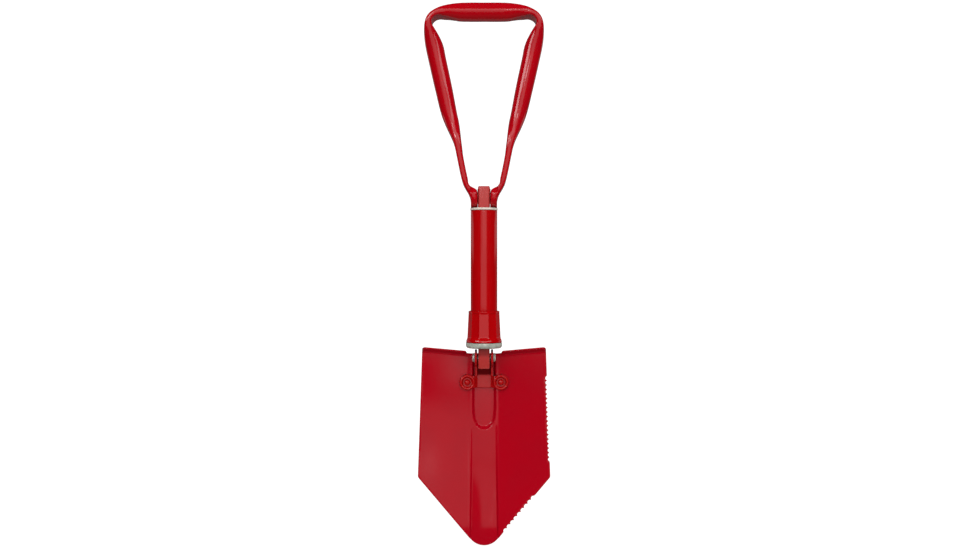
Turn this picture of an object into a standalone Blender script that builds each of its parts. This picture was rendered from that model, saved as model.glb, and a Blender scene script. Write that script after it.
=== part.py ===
"""Folding three-section steel shovel (avalanche / entrenching pattern).

A flat tie bar runs through the shaft tube and carries a hinge at each end:
the blade's clevis at the bottom, the feet of the bent-tube handle at the top.
A screw collar on the tube presses a lock ring down on the clevis and the tube's
top ring up on the handle's feet.

Frame: +Z up towards the handle, -Y is the blade's concave front, +X to the right.
The origin is the middle of the flat back of the blade's socket groove, the face the
shovel rests on when it lies on its back. Sizes are in millimetres and places are taken
from a hinge axis, the lower one unless said otherwise; meshes are made in metres.
"""
import math

import bmesh
import bpy
from mathutils import Vector
from mathutils.geometry import delaunay_2d_cdt

MM = 0.001
GAP = 0.3                     # running gap between neighbouring pieces
SIDES = (-1, 1)               # left, right

# ---- dimensions shared by several pieces ---------------------------------------
PIVOT_SPAN = 172.3            # lower hinge axis to upper hinge axis
BAR_HALF_X = 6.0
BAR_HALF_Y = 10.8
DISC_R = 8.0                  # friction discs on the bar that sit in the handle's feet
DISC_X = 6.9
PIN_R = 3.2
PIN_BORE_R = PIN_R + GAP

TUBE_R = 14.2
TUBE_WALL = 1.4
TUBE_BOTTOM = 27.5
TUBE_TOP = 157.0
TUBE_BORE_R = TUBE_R - TUBE_WALL
SPIGOT_R = TUBE_BORE_R - GAP
TOP_RING_R = 14.6

RING_R = 19.25                # lock ring
RING_TOP = 16.3
HUB_R = 15.0                  # the lock ring's hub, which stands up into the collar
SNAP_R = 16.4                 # snap ring on the hub

SHEET = 1.6                   # blade sheet
FLAT_Y = 20.5                 # blade's front surface behind the hinge plane, at mid width
POCKET_DEPTH = 3.1            # socket groove
EAR_OUT = 9.7                 # outer face of the clevis ears
LUG_X = 18.2                  # rivet axes, in the clevis's round lugs
LUG_Z = -28.2
MOAT_FRONT = 18.2             # floor of the round recess in each lug
RIVET_BORE_R = 2.5

# the frame's origin, seen from the lower hinge
ORIGIN_Y = FLAT_Y + POCKET_DEPTH + SHEET
ORIGIN_Z = -30.0


# ---- scene and materials ---------------------------------------------------------
def clear_scene():
    for obj in list(bpy.data.objects):
        bpy.data.objects.remove(obj, do_unlink=True)


def make_material(name, color, roughness, metallic):
    material = bpy.data.materials.new(name)
    material.use_nodes = True
    inputs = material.node_tree.nodes["Principled BSDF"].inputs
    inputs["Base Color"].default_value = (*color, 1.0)
    inputs["Roughness"].default_value = roughness
    inputs["Metallic"].default_value = metallic
    return material


def make_empty(name, y, z):
    empty = bpy.data.objects.new(name, None)
    empty.empty_display_size = 0.02
    empty.location = (0.0, y * MM, z * MM)
    bpy.context.scene.collection.objects.link(empty)
    return empty


# ---- shapes: (vertices in mm, faces) -----------------------------------------------
def add_ring(verts, points):
    """Append points to verts and return their indices."""
    first = len(verts)
    verts += points
    return list(range(first, len(verts)))


def bridge(lower, upper):
    """Faces between two closed rings; a ring of one vertex makes a fan."""
    count = max(len(lower), len(upper))
    faces = []
    for k in range(count):
        after = (k + 1) % count
        if len(lower) == 1:
            faces.append((lower[0], upper[after], upper[k]))
        elif len(upper) == 1:
            faces.append((lower[k], lower[after], upper[0]))
        else:
            faces.append((lower[k], lower[after], upper[after], upper[k]))
    return faces


def bridge_all(rings, closed=False):
    faces = []
    for lower, upper in zip(rings, rings[1:] + (rings[:1] if closed else [])):
        faces += bridge(lower, upper)
    return faces


def turn_angles(count, start=0.0):
    return [2.0 * math.pi * k / count + start for k in range(count)]


def to_axis(verts, axis):
    """Turn a shape built along Z so that it lies along the given axis."""
    if axis == "X":
        return [(z, x, y) for x, y, z in verts]
    if axis == "Y":
        return [(y, z, x) for x, y, z in verts]
    return verts


def lathe(profile, segments, axis="Z"):
    """(radius, height) profile turned about an axis; radius 0 closes on the axis.

    A profile with neither end on the axis is joined up into a hollow piece.
    """
    verts = []
    rings = []
    for radius, height in profile:
        rings.append(add_ring(verts, [(radius * math.cos(angle), radius * math.sin(angle), height)
                                      for angle in turn_angles(segments if radius else 1)]))
    closed = profile[0][0] > 0.0 and profile[-1][0] > 0.0
    return to_axis(verts, axis), bridge_all(rings, closed)


def cylinder(radius, low, high, segments, axis="Z"):
    return lathe([(0, low), (radius, low), (radius, high), (0, high)], segments, axis)


def sleeve(inner, outer, low, high, segments, axis):
    return lathe([(inner, low), (outer, low), (outer, high), (inner, high)], segments, axis)


def prism(outline, low, high, axis="Z"):
    """Polygon pushed from low to high along an axis."""
    verts = []
    bottom = add_ring(verts, [(x, y, low) for x, y in outline])
    top = add_ring(verts, [(x, y, high) for x, y in outline])
    faces = [tuple(bottom[::-1]), tuple(top)] + bridge(bottom, top)
    return to_axis(verts, axis), faces


def box(x_range, y_range, z_range):
    (left, right), (front, back) = x_range, y_range
    return prism([(left, front), (right, front), (right, back), (left, back)], *z_range)


def shifted(shape, dx=0.0, dz=0.0):
    verts, faces = shape
    return [(x + dx, y, z + dz) for x, y, z in verts], faces


# ---- objects -------------------------------------------------------------------------
def recalc_normals(work):
    bmesh.ops.recalc_face_normals(work, faces=work.faces)


def shade(mesh, angle):
    """Smooth the round faces; edges above the angle in degrees stay sharp."""
    mesh.shade_smooth()
    mesh.set_sharp_from_angle(angle=math.radians(angle))


def mesh_object(name, shape, material=None, parent=None, angle=35.0):
    """Object from a shape, whose places are relative to the parent empty."""
    verts, faces = shape
    mesh = bpy.data.meshes.new(name)
    mesh.from_pydata([(x * MM, y * MM, z * MM) for x, y, z in verts], [], faces)
    mesh.validate()
    work = bmesh.new()
    work.from_mesh(mesh)
    recalc_normals(work)
    work.to_mesh(mesh)
    work.free()
    obj = bpy.data.objects.new(name, mesh)
    bpy.context.scene.collection.objects.link(obj)
    if material is not None:
        mesh.materials.append(material)
    obj.parent = parent
    shade(mesh, angle)
    return obj


def combine(obj, shape, operation):
    """Applied boolean of a still unparented object with a shape."""
    helper = mesh_object("helper", shape)
    modifier = obj.modifiers.new("cut", "BOOLEAN")
    modifier.operation = operation
    modifier.solver = "EXACT"
    modifier.object = helper
    bpy.context.view_layer.update()
    graph = bpy.context.evaluated_depsgraph_get()
    mesh = bpy.data.meshes.new_from_object(obj.evaluated_get(graph))
    old = obj.data
    obj.modifiers.clear()
    mesh.name = obj.name
    obj.data = mesh
    bpy.data.meshes.remove(old)
    bpy.data.objects.remove(helper, do_unlink=True)


def combined_shape(first, second, operation):
    """Boolean of two shapes, as a shape."""
    obj = mesh_object("helper", first)
    combine(obj, second, operation)
    shape = ([tuple(value / MM for value in vertex.co) for vertex in obj.data.vertices],
             [tuple(polygon.vertices) for polygon in obj.data.polygons])
    bpy.data.objects.remove(obj, do_unlink=True)
    return shape


def finish(obj, parent, angle=35.0):
    """Merge what the booleans leave doubled, shade the object and parent it."""
    work = bmesh.new()
    work.from_mesh(obj.data)
    bmesh.ops.remove_doubles(work, verts=work.verts, dist=0.00001)
    bmesh.ops.dissolve_degenerate(work, edges=work.edges, dist=0.000005)
    bmesh.ops.triangulate(work, faces=[face for face in work.faces if len(face.verts) > 4])
    recalc_normals(work)
    work.to_mesh(obj.data)
    work.free()
    shade(obj.data, angle)
    obj.parent = parent


# ---- easing --------------------------------------------------------------------------
def clamp(value):
    return min(1.0, max(0.0, value))


def smoothstep(value):
    value = clamp(value)
    return value * value * (3.0 - 2.0 * value)


def ease_up(value, start, length):
    """0 up to start, rising to 1 a length above it."""
    return smoothstep((value - start) / length)


def ease_down(value, start, length):
    """0 down to start, rising to 1 a length below it."""
    return smoothstep((start - value) / length)


# ---- tie bar -------------------------------------------------------------------------
BAR_BOTTOM = -11.0
BAR_TOP = PIVOT_SPAN + 10.2
BAR_EASE = 0.6                # eased bottom end
BAR_CHAMFER = 0.9             # chamfered top end
BAR_CORNER_R = 1.5
BAR_CORNER_STEPS = 3
CHEEK_X = 6.4                 # friction cheeks on the bar between the handle's feet
CHEEK_HALF_Y = BAR_HALF_Y - 2.4
CHEEK_BOTTOM = 160.6
CHEEK_TOP = BAR_TOP - 1.2
BAR_CUT_X = 9.0


def rounded_rect(half_x, half_y, radius, steps):
    """Rectangle outline with rounded corners, counter-clockwise."""
    x, y = half_x - radius, half_y - radius
    points = []
    for corner_x, corner_y, start in ((x, y, 0), (-x, y, 90), (-x, -y, 180), (x, -y, 270)):
        for k in range(steps + 1):
            angle = math.radians(start + 90.0 * k / steps)
            points.append((corner_x + radius * math.cos(angle),
                           corner_y + radius * math.sin(angle)))
    return points


def build_tie_bar(parent, material):
    """Flat bar with cheeks and discs at its top and a bore for each hinge pin."""
    verts = []
    rings = []
    for level, inset in ((BAR_BOTTOM, BAR_EASE), (BAR_BOTTOM + BAR_EASE, 0.0),
                         (BAR_TOP - BAR_CHAMFER, 0.0), (BAR_TOP, BAR_CHAMFER)):
        outline = rounded_rect(BAR_HALF_X - inset, BAR_HALF_Y - inset,
                               BAR_CORNER_R - inset * 0.5, BAR_CORNER_STEPS)
        rings.append(add_ring(verts, [(x, y, level) for x, y in outline]))
    faces = bridge_all(rings) + [tuple(rings[0][::-1]), tuple(rings[-1])]
    bar = mesh_object("tie_bar", (verts, faces), material)
    cheeks = box((-CHEEK_X, CHEEK_X), (-CHEEK_HALF_Y, CHEEK_HALF_Y), (CHEEK_BOTTOM, CHEEK_TOP))
    combine(bar, cheeks, "UNION")
    discs = cylinder(DISC_R, -DISC_X, DISC_X, 40, "X")
    combine(bar, shifted(discs, dz=PIVOT_SPAN), "UNION")
    bore = cylinder(PIN_BORE_R, -BAR_CUT_X, BAR_CUT_X, 24, "X")
    for pivot_z in (0.0, PIVOT_SPAN):
        combine(bar, shifted(bore, dz=pivot_z), "DIFFERENCE")
    finish(bar, parent)


# ---- shaft tube and its end pieces -----------------------------------------------------
TUBE_CHAMFER = (0.6, 1.0)     # radial, axial
TOP_RING_TOP = 159.7
TOP_SPIGOT_LENGTH = 7.0       # below the tube's top end
GUIDE_R = 13.9                # flange of the lower guide
GUIDE_FLANGE = 1.0
GUIDE_BOTTOM = TUBE_BOTTOM - 1.3
GUIDE_TOP = GUIDE_BOTTOM + 9.5
SPIGOT_CHAMFER = 0.5
SLOT_CUT_Z = (-50.0, 250.0)


def slotted(name, profile, segments, material, parent):
    """Turned piece with the rectangular slot that keys it on the tie bar."""
    obj = mesh_object(name, lathe(profile, segments), material)
    half_x, half_y = BAR_HALF_X + GAP, BAR_HALF_Y + GAP
    combine(obj, box((-half_x, half_x), (-half_y, half_y), SLOT_CUT_Z), "DIFFERENCE")
    finish(obj, parent)


def build_shaft_tube(parent, material):
    radial, axial = TUBE_CHAMFER
    profile = [(TUBE_R, TUBE_TOP), (TUBE_R, TUBE_BOTTOM + axial), (TUBE_R - radial, TUBE_BOTTOM),
               (TUBE_BORE_R, TUBE_BOTTOM), (TUBE_BORE_R, TUBE_TOP)]
    mesh_object("shaft_tube", lathe(profile, 36), material, parent)


def build_top_ring(parent, material):
    """Ferrule on the tube's top end, with a spigot that guides the bar."""
    bottom = TUBE_TOP - TOP_SPIGOT_LENGTH
    seat = TUBE_TOP + GAP
    profile = [(0, bottom), (SPIGOT_R - SPIGOT_CHAMFER, bottom),
               (SPIGOT_R, bottom + SPIGOT_CHAMFER), (SPIGOT_R, seat),
               (TOP_RING_R - 0.3, seat), (TOP_RING_R, seat + 0.3),
               (TOP_RING_R, TOP_RING_TOP - 0.4), (TOP_RING_R - 0.4, TOP_RING_TOP),
               (0, TOP_RING_TOP)]
    slotted("top_ring", profile, 36, material, parent)


def build_lower_guide(parent, material):
    """Flanged guide in the tube's lower end, inside the collar."""
    shelf = GUIDE_BOTTOM + GUIDE_FLANGE
    profile = [(0, GUIDE_BOTTOM), (GUIDE_R, GUIDE_BOTTOM), (GUIDE_R, shelf), (SPIGOT_R, shelf),
               (SPIGOT_R, GUIDE_TOP - SPIGOT_CHAMFER), (SPIGOT_R - SPIGOT_CHAMFER, GUIDE_TOP),
               (0, GUIDE_TOP)]
    slotted("lower_guide", profile, 32, material, parent)


# ---- locking collar --------------------------------------------------------------------
COLLAR_BOTTOM = RING_TOP + GAP
COLLAR_TOP = 50.1
COLLAR_TOP_R = 16.5
COLLAR_TAPER = 1.6            # gain in radius from top to bottom
COLLAR_LOW_R = 19.05
COLLAR_FOOT = (COLLAR_BOTTOM + 0.6, 5.6)    # (start, length) of the flare at the bottom
COLLAR_FLUTES = 11
FLUTE_SEGMENTS = 4
FLUTE_DEPTH = 0.8
FLUTE_POWER = 2.4             # shape of a flute across its width
FLUTE_START = (COLLAR_BOTTOM + 2.6, 3.4)    # (start, length) of the run-in and run-out
FLUTE_END = (COLLAR_TOP - 3.4, 2.2)
COLLAR_RIM = 0.5              # inset of the outside at both ends
THREAD_BORE_R = 14.8
# (radius, height) of the bore, with a recess round the snap ring
COLLAR_BORE = (
    (THREAD_BORE_R + 0.7, COLLAR_TOP), (THREAD_BORE_R, COLLAR_TOP - 0.8),
    (THREAD_BORE_R, 20.2), (SNAP_R + GAP, 20.2), (SNAP_R + GAP, 17.6),
    (HUB_R + 0.4, 17.6), (HUB_R + 0.4, COLLAR_BOTTOM),
)


def collar_radius(height, angle):
    """Outer radius of the fluted collar at a height and an angle; a flute faces forward."""
    fall = (COLLAR_TOP - height) / (COLLAR_TOP - COLLAR_BOTTOM)
    radius = COLLAR_TOP_R + COLLAR_TAPER * fall
    flare = COLLAR_LOW_R - COLLAR_TOP_R - COLLAR_TAPER
    radius += flare * (1.0 - ease_up(height, *COLLAR_FOOT))
    depth = FLUTE_DEPTH * ease_up(height, *FLUTE_START) * (1.0 - ease_up(height, *FLUTE_END))
    flute = (angle + 0.5 * math.pi) * COLLAR_FLUTES / (2.0 * math.pi)
    offset = 2.0 * (flute - round(flute))
    return radius - depth * (1.0 - abs(offset) ** FLUTE_POWER)


def build_collar(parent, material):
    angles = turn_angles(FLUTE_SEGMENTS * COLLAR_FLUTES, start=-0.5 * math.pi)
    verts = []
    rings = []

    def add_level(radii, height):
        rings.append(add_ring(verts, [
            (radius * math.cos(angle), radius * math.sin(angle), height)
            for radius, angle in zip(radii, angles)]))

    for height, inset in ((COLLAR_BOTTOM, COLLAR_RIM), (COLLAR_BOTTOM + 1.4, 0.0),
                          (FLUTE_START[0], 0.0), (sum(FLUTE_START), 0.0), (FLUTE_END[0], 0.0),
                          (COLLAR_TOP - 0.8, 0.0), (COLLAR_TOP, COLLAR_RIM)):
        add_level([collar_radius(height, angle) - inset for angle in angles], height)
    for radius, height in COLLAR_BORE:
        add_level([radius] * len(angles), height)
    shape = (verts, bridge_all(rings, closed=True))
    mesh_object("locking_collar", shape, material, parent, angle=30.0)


# ---- lock ring -------------------------------------------------------------------------
RING_BOTTOM = 10.6
HUB_TOP = 19.5
HUB_GROOVE_R = HUB_R - 1.0
SNAP_BOTTOM = 18.2
SNAP_TOP = 18.8
SNAP_OPENING = 12.0           # half angle of the opening, degrees
SNAP_STEPS = 32


def build_lock_ring(parent, material):
    """Ring under the collar, keyed on the bar, with a grooved hub."""
    groove_bottom, groove_top = SNAP_BOTTOM - GAP, SNAP_TOP + GAP
    profile = [(0, RING_BOTTOM), (RING_R - 1.9, RING_BOTTOM), (RING_R - 0.7, RING_BOTTOM + 0.8),
               (RING_R, RING_BOTTOM + 2.2), (RING_R, RING_TOP - 0.5), (RING_R - 0.5, RING_TOP),
               (HUB_R, RING_TOP), (HUB_R, groove_bottom), (HUB_GROOVE_R, groove_bottom),
               (HUB_GROOVE_R, groove_top), (HUB_R, groove_top), (HUB_R, HUB_TOP), (0, HUB_TOP)]
    slotted("lock_ring", profile, 36, material, parent)


def build_collar_retainer(parent, material):
    """Open snap ring in the hub's groove, which holds the lock ring to the collar."""
    sweep = 360.0 - 2.0 * SNAP_OPENING
    angles = [math.radians(SNAP_OPENING + sweep * k / SNAP_STEPS) for k in range(SNAP_STEPS + 1)]
    outline = []
    for radius, run in ((SNAP_R, angles), (HUB_GROOVE_R + GAP, angles[::-1])):
        outline += [(radius * math.cos(angle), radius * math.sin(angle)) for angle in run]
    verts = []
    lower = add_ring(verts, [(x, y, SNAP_BOTTOM) for x, y in outline])
    upper = add_ring(verts, [(x, y, SNAP_TOP) for x, y in outline])
    faces = bridge(lower, upper)
    for i in range(SNAP_STEPS):
        faces.append((lower[i], lower[-1 - i], lower[-2 - i], lower[i + 1]))
        faces.append((upper[i], upper[i + 1], upper[-2 - i], upper[-1 - i]))
    mesh_object("collar_retainer", (verts, faces), material, parent)


# ---- hinge pins ------------------------------------------------------------------------
WASHER_R = 4.8
WASHER_THICK = 1.0
WASHER_X = EAR_OUT + GAP      # inner face of the right washer
RIVET_HEAD_R = 4.3
RIVET_HEAD_X = 12.7           # crown of the head
# (radius, distance below the crown) from the crown outwards
RIVET_HEAD = ((0, 0.0), (2.4, 0.15), (3.7, 0.8))
UPPER_PIN_X = 14.7
UPPER_PIN_CHAMFER = 0.5


def build_blade_pivot(parent, material):
    """Rivet of the lower hinge, with a washer under each head."""
    seat = WASHER_X + WASHER_THICK + GAP
    right = [(PIN_R, seat), (RIVET_HEAD_R, seat), (RIVET_HEAD_R, seat + 0.4)]
    right += [(radius, RIVET_HEAD_X - drop) for radius, drop in RIVET_HEAD[::-1]]
    left = [(radius, -x) for radius, x in right[::-1]]
    mesh_object("blade_pivot_pin", lathe(left + right, 16, "X"), material, parent)
    washer = sleeve(PIN_BORE_R, WASHER_R, 0.0, WASHER_THICK, 24, "X")
    for name, x in (("pivot_washer_left", -WASHER_X - WASHER_THICK),
                    ("pivot_washer_right", WASHER_X)):
        mesh_object(name, shifted(washer, dx=x), material, parent)


def build_handle_pin(parent, material):
    """Flush pin of the upper hinge."""
    right = [(PIN_R, UPPER_PIN_X - UPPER_PIN_CHAMFER),
             (PIN_R - UPPER_PIN_CHAMFER, UPPER_PIN_X), (0, UPPER_PIN_X)]
    left = [(radius, -x) for radius, x in right[::-1]]
    mesh_object("handle_pivot_pin", lathe(left + right, 24, "X"), material, parent)


# ---- blade: relief of the sheet ----------------------------------------------------------
# Pairs named as eases are the (start, length) of a gradual change down the blade.
DISH_SLOPE = 0.07             # each half of the blade leans forward towards its edge
DISH_START = 12.0             # distance from the middle where the lean begins
DISH_BLEND = 8.0
POCKET_HALF = 13.1
POCKET_WALL = 2.5
POCKET_END = -52.0            # where the groove's straight sides end
POCKET_ROUND = 29.0           # length of its rounded lower end
POCKET_POWER = 2.6            # exponent of the superellipse of that end
POCKET_CORE = (0.3, 8.0)      # below this share of the ellipse, the distance is taken as this
POCKET_WALL_GROWTH = 3.0
POCKET_WALL_EASE = (-66.0, 14.0)
CHANNEL_DEPTH = 1.7
CHANNEL_HALF = 14.4
CHANNEL_WIDENING = (-84.0, 122.0, 1.8)      # start, length, gain in half width
CHANNEL_FLAT = 0.87           # share of the half width where the floor ends
CHANNEL_CROWN = 0.28          # rise of the floor's middle, as a share of the depth
CHANNEL_CROWN_EASE = (-104.0, 86.0)
CHANNEL_FALLS = ((0.14, (-73.0, 9.0)), (0.86, (-78.0, 80.0)))     # share of depth, ease
LEAN = 2.0                    # the lower blade leans forward by this
LEAN_EASE = (-120.0, 100.0)
TIP_CURL = (-176.0, 30.0, 1.2)              # start, length, backward curl at that length
NOTCH_HALF = 19.0             # notch for the hinge between the foot-steps
NOTCH_Z = 3.0
STEP_RADIUS = 3.0             # bend of the foot-steps
STEP_ANGLE = math.radians(50.0)
STEP_LENGTH = 7.7             # arc length from the bend line to the free edge
STEP_EASE = (14.0, 5.5)       # outwards from the middle


def dish(x):
    """How far a half of the blade leans forward at a distance from its middle."""
    beyond = abs(x) - DISH_START
    if beyond <= 0.0:
        return 0.0
    if beyond < DISH_BLEND:
        share = beyond / DISH_BLEND
        return DISH_SLOPE * DISH_BLEND * (share ** 3 - 0.5 * share ** 4)
    return DISH_SLOPE * (beyond - DISH_BLEND / 2.0)


def pocket_inside(x, height):
    """Distance inwards from the rim of the socket groove."""
    if height >= POCKET_END:
        return POCKET_HALF - abs(x)
    across, down = abs(x) / POCKET_HALF, (POCKET_END - height) / POCKET_ROUND
    radius = (across ** POCKET_POWER + down ** POCKET_POWER) ** (1.0 / POCKET_POWER)
    core, core_distance = POCKET_CORE
    if radius < core:
        return core_distance
    power = POCKET_POWER - 1.0
    slope = math.hypot(across ** power / POCKET_HALF, down ** power / POCKET_ROUND)
    return (1.0 - radius) * radius ** power / slope


def channel_half(height):
    """Half width of the shallow channel from the socket groove to the tip."""
    start, length, gain = CHANNEL_WIDENING
    return CHANNEL_HALF + gain * clamp((start - height) / length)


def groove_depth(x, height):
    wall = POCKET_WALL + POCKET_WALL_GROWTH * ease_down(height, *POCKET_WALL_EASE)
    pocket = smoothstep(pocket_inside(x, height) / wall)
    across = abs(x) / channel_half(height)
    floor = 1.0 - ease_up(across, CHANNEL_FLAT, 1.0 - CHANNEL_FLAT)
    bulge = max(0.0, 1.0 - (across / CHANNEL_FLAT) ** 2)
    crown = CHANNEL_CROWN * ease_down(height, *CHANNEL_CROWN_EASE) * bulge
    fall = sum(share * ease_down(height, *ease) for share, ease in CHANNEL_FALLS)
    return max(POCKET_DEPTH * pocket, CHANNEL_DEPTH * floor * (1.0 - crown) * fall)


def step_line(x):
    """Height at which the foot-step starts to bend forward."""
    return -0.5 + 4.5 * max(0.0, abs(x) - NOTCH_HALF) / 48.0


def sheet_point(x, height):
    """Point of the front surface and the direction through the sheet, for a place on the
    flat blank, whose height runs up the sheet and over the foot-step's bend."""
    y = FLAT_Y - dish(x) + groove_depth(x, height)
    y -= LEAN * ease_down(height, *LEAN_EASE)
    start, length, curl = TIP_CURL
    y += curl * (max(0.0, start - height) / length) ** 2
    bend = step_line(x)
    full = STEP_ANGLE * ease_up(abs(x), *STEP_EASE)
    beyond = height - bend
    if beyond <= 0.0 or full < 1e-6:
        return Vector((x, y, height)), Vector((0.0, 1.0, 0.0))
    angle = min(full, beyond / STEP_RADIUS)
    z = bend + STEP_RADIUS * math.sin(angle)
    y -= STEP_RADIUS * (1.0 - math.cos(angle))
    straight = beyond - STEP_RADIUS * angle
    if straight > 0.0:
        z += straight * math.cos(full)
        y -= straight * math.sin(full)
    return Vector((x, y, z)), Vector((0.0, math.cos(angle), math.sin(angle)))


# ---- blade: outline of the flat blank ------------------------------------------------------
CORNER = (71.9, -130.9)       # widest point of the blade
CORNER_EASE = ((-0.05, 1.0), (-0.75, -0.85))     # offsets that blunt the corner
SHOULDER = (67.4, 3.0)        # side just under the foot-steps
STEP_EDGE_X = (31.0, 43.0, 55.0, 63.5)
SHOULDER_X = 63.5             # centre and radii of the foot-step's rounded outer corner
SHOULDER_RADII = (3.6, 3.4)
TIP_Z = -206.1
TIP_R = 19.0
TIP_ANGLE = math.radians(50.0)     # half angle of the tip's arc
TIP_STEPS = 6                 # per half
SCALLOP_STEPS = 4
# Scalloped right edges: from, to, count, land between bites, depth.
# The side runs between two heights, the lower edge between two distances from the middle.
SIDE_SCALLOPS = (-21.2, -114.2, 19, 0.55, 1.45)
EDGE_SCALLOPS = (54.8, 21.2, 9, 0.6, 1.6)
SIDE_ENDS = (-19.8, -115.4)   # plain points above and below the side's scallops
SIDE_INSET = 0.35
EDGE_INSET = 0.25
EDGE_END = 19.5
PLAIN_SIDE_Z = (-30.0, -65.0, -100.0)       # points of the plain left edges
PLAIN_EDGE_X = (57.0, 43.0, 29.0)
# points along the notch, where the socket groove's profile needs them
NOTCH_X = (-14.5, -11.4, -10.2, -9.0, -4.5, 0.0, 4.5, 9.0, 10.2, 11.4, 14.5)


def scallops(start, end, count, land, depth):
    """Points from start to end with round bites taken out to the right of the line."""
    along = (end - start).normalized()
    inward = Vector((along.y, -along.x))
    pitch = (end - start).length / count
    half = (pitch - land) / 2.0
    radius = (half * half + depth * depth) / (2.0 * depth)
    reach = math.asin(half / radius)
    points = []
    for k in range(count):
        centre = start + along * (pitch * (k + 0.5)) - inward * (radius - depth)
        for j in range(SCALLOP_STEPS + 1):
            angle = -reach + 2.0 * reach * j / SCALLOP_STEPS
            points.append(centre + along * (radius * math.sin(angle))
                          + inward * (radius * math.cos(angle)))
    return points


def step_corner():
    """Right foot-step, from the notch out round its outer corner."""
    def top(x):
        return step_line(x) + STEP_LENGTH

    points = [Vector((NOTCH_HALF - 1.5, NOTCH_Z)),
              Vector((NOTCH_HALF, NOTCH_Z + 1.5)),
              Vector((NOTCH_HALF + 0.3, top(NOTCH_HALF) - 2.0)),
              Vector((NOTCH_HALF + 2.3, top(NOTCH_HALF + 2.3)))]
    points += [Vector((x, top(x))) for x in STEP_EDGE_X]
    radius_x, radius_z = SHOULDER_RADII
    centre_z = top(SHOULDER_X) - radius_z
    for degrees in (60.0, 30.0, 0.0):
        angle = math.radians(degrees)
        points.append(Vector((SHOULDER_X + radius_x * math.cos(angle),
                              centre_z + radius_z * math.sin(angle))))
    return points


def blade_outline():
    """Outline of the flat blank (x, height), counter-clockwise seen from the front."""
    step = step_corner()
    side = Vector(SHOULDER)
    corner = Vector(CORNER)
    blunt = [corner + Vector(offset) for offset in CORNER_EASE]
    tip_centre = Vector((0.0, TIP_Z + TIP_R))

    def on_tip(angle):
        return tip_centre + Vector((math.sin(angle), -math.cos(angle))) * TIP_R

    tangent = on_tip(TIP_ANGLE)

    def on_side(height):
        return side.lerp(corner, (height - side.y) / (corner.y - side.y))

    def on_edge(x):
        return corner.lerp(tangent, (x - corner.x) / (tangent.x - corner.x))

    start, end, *bites = SIDE_SCALLOPS
    inset = Vector((-SIDE_INSET, 0.0))
    right = step + [side, on_side(SIDE_ENDS[0])]
    right += scallops(on_side(start) + inset, on_side(end) + inset, *bites)
    right += [on_side(SIDE_ENDS[1])] + blunt
    start, end, *bites = EDGE_SCALLOPS
    along = (tangent - corner).normalized()
    inset = Vector((along.y, -along.x)) * EDGE_INSET
    right += scallops(on_edge(start) + inset, on_edge(end) + inset, *bites)
    right.append(on_edge(EDGE_END))
    tip = [on_tip(TIP_ANGLE * k / TIP_STEPS) for k in range(TIP_STEPS, -TIP_STEPS - 1, -1)]
    plain = (step + [side] + [on_side(height) for height in PLAIN_SIDE_Z]
             + blunt + [on_edge(x) for x in PLAIN_EDGE_X])
    left = [Vector((-point.x, point.y)) for point in plain]
    notch = [Vector((x, NOTCH_Z)) for x in NOTCH_X]
    # gathered clockwise: down the right side, round the tip, up the left, along the notch
    return (right + tip + left[::-1] + notch)[::-1]


def inside(outline, point, margin):
    """Whether a point lies within the outline and more than a margin from it."""
    hit = False
    nearest = 1e9
    for start, end in zip(outline, outline[1:] + outline[:1]):
        if (start.y > point.y) != (end.y > point.y):
            share = (end.x - start.x) * (point.y - start.y) / (end.y - start.y)
            if point.x < share + start.x:
                hit = not hit
        edge = end - start
        place = clamp((point - start).dot(edge) / max(1e-9, edge.length_squared))
        nearest = min(nearest, (start + edge * place - point).length)
    return hit and nearest > margin


# ---- blade: mesh ---------------------------------------------------------------------------
# Heights and distances from the middle of the mesh points on the blank.
POCKET_SIDE_Z = (NOTCH_Z, -6.0, -16.0, -28.0, -42.0)
POCKET_SHARES = (1.0, 0.5, 0.0)             # floor, wall and rim of the socket groove
POCKET_END_WALL = POCKET_WALL + 2.9
POCKET_END_STEPS = 18
CHANNEL_HEAD_X = (-9.5, -4.5, 0.0, 4.5, 9.5)
CHANNEL_HEAD_Z = (-83.0, -85.5)
CHANNEL_TOP_Z = (-77.5, -81.0, -84.0)
CHANNEL_Z = (-88.0, -98.0, -112.0, -126.0, -140.0, -155.0, -170.0, -182.0, -190.0)
MIDDLE_POCKET_Z = (-12.0, -40.0, -66.0)
MIDDLE_TIP_Z = (-200.0,)
STEP_BEND_X = (16.5, 18.3, 21.5, 31.0, 43.0, 55.0, 64.0)
STEP_BEND_RISE = (-3.0, 0.0, 0.9, 1.75, 2.62, 5.0)     # from the bend line
FIELD_X = (19.5, 28.0, 37.0, 46.0, 55.0, 63.0)
FIELD_Z = tuple(-10.0 - 12.0 * row for row in range(15))
FIELD_STAGGER = 1.5           # outward shift of every other row
# least distances of mesh points from the outline
CHAIN_MARGIN = 0.6
STEP_MARGIN = 0.7
FIELD_MARGIN = 2.2
CDT_INSIDE = 1                # triangulate only what lies inside the outline
CDT_TOLERANCE = 0.001


def pocket_chain(share):
    """Line round the socket groove, a share of its wall's width in from the rim."""
    half = POCKET_HALF - share * POCKET_WALL
    deep = POCKET_ROUND - share * POCKET_END_WALL
    power = 2.0 / POCKET_POWER
    run = [Vector((-half, height)) for height in POCKET_SIDE_Z]
    for k in range(POCKET_END_STEPS + 1):
        angle = math.pi * k / POCKET_END_STEPS
        across = math.copysign(abs(math.cos(angle)) ** power, math.cos(angle))
        run.append(Vector((-half * across, POCKET_END - deep * math.sin(angle) ** power)))
    return run + [Vector((half, height)) for height in POCKET_SIDE_Z[::-1]]


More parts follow.
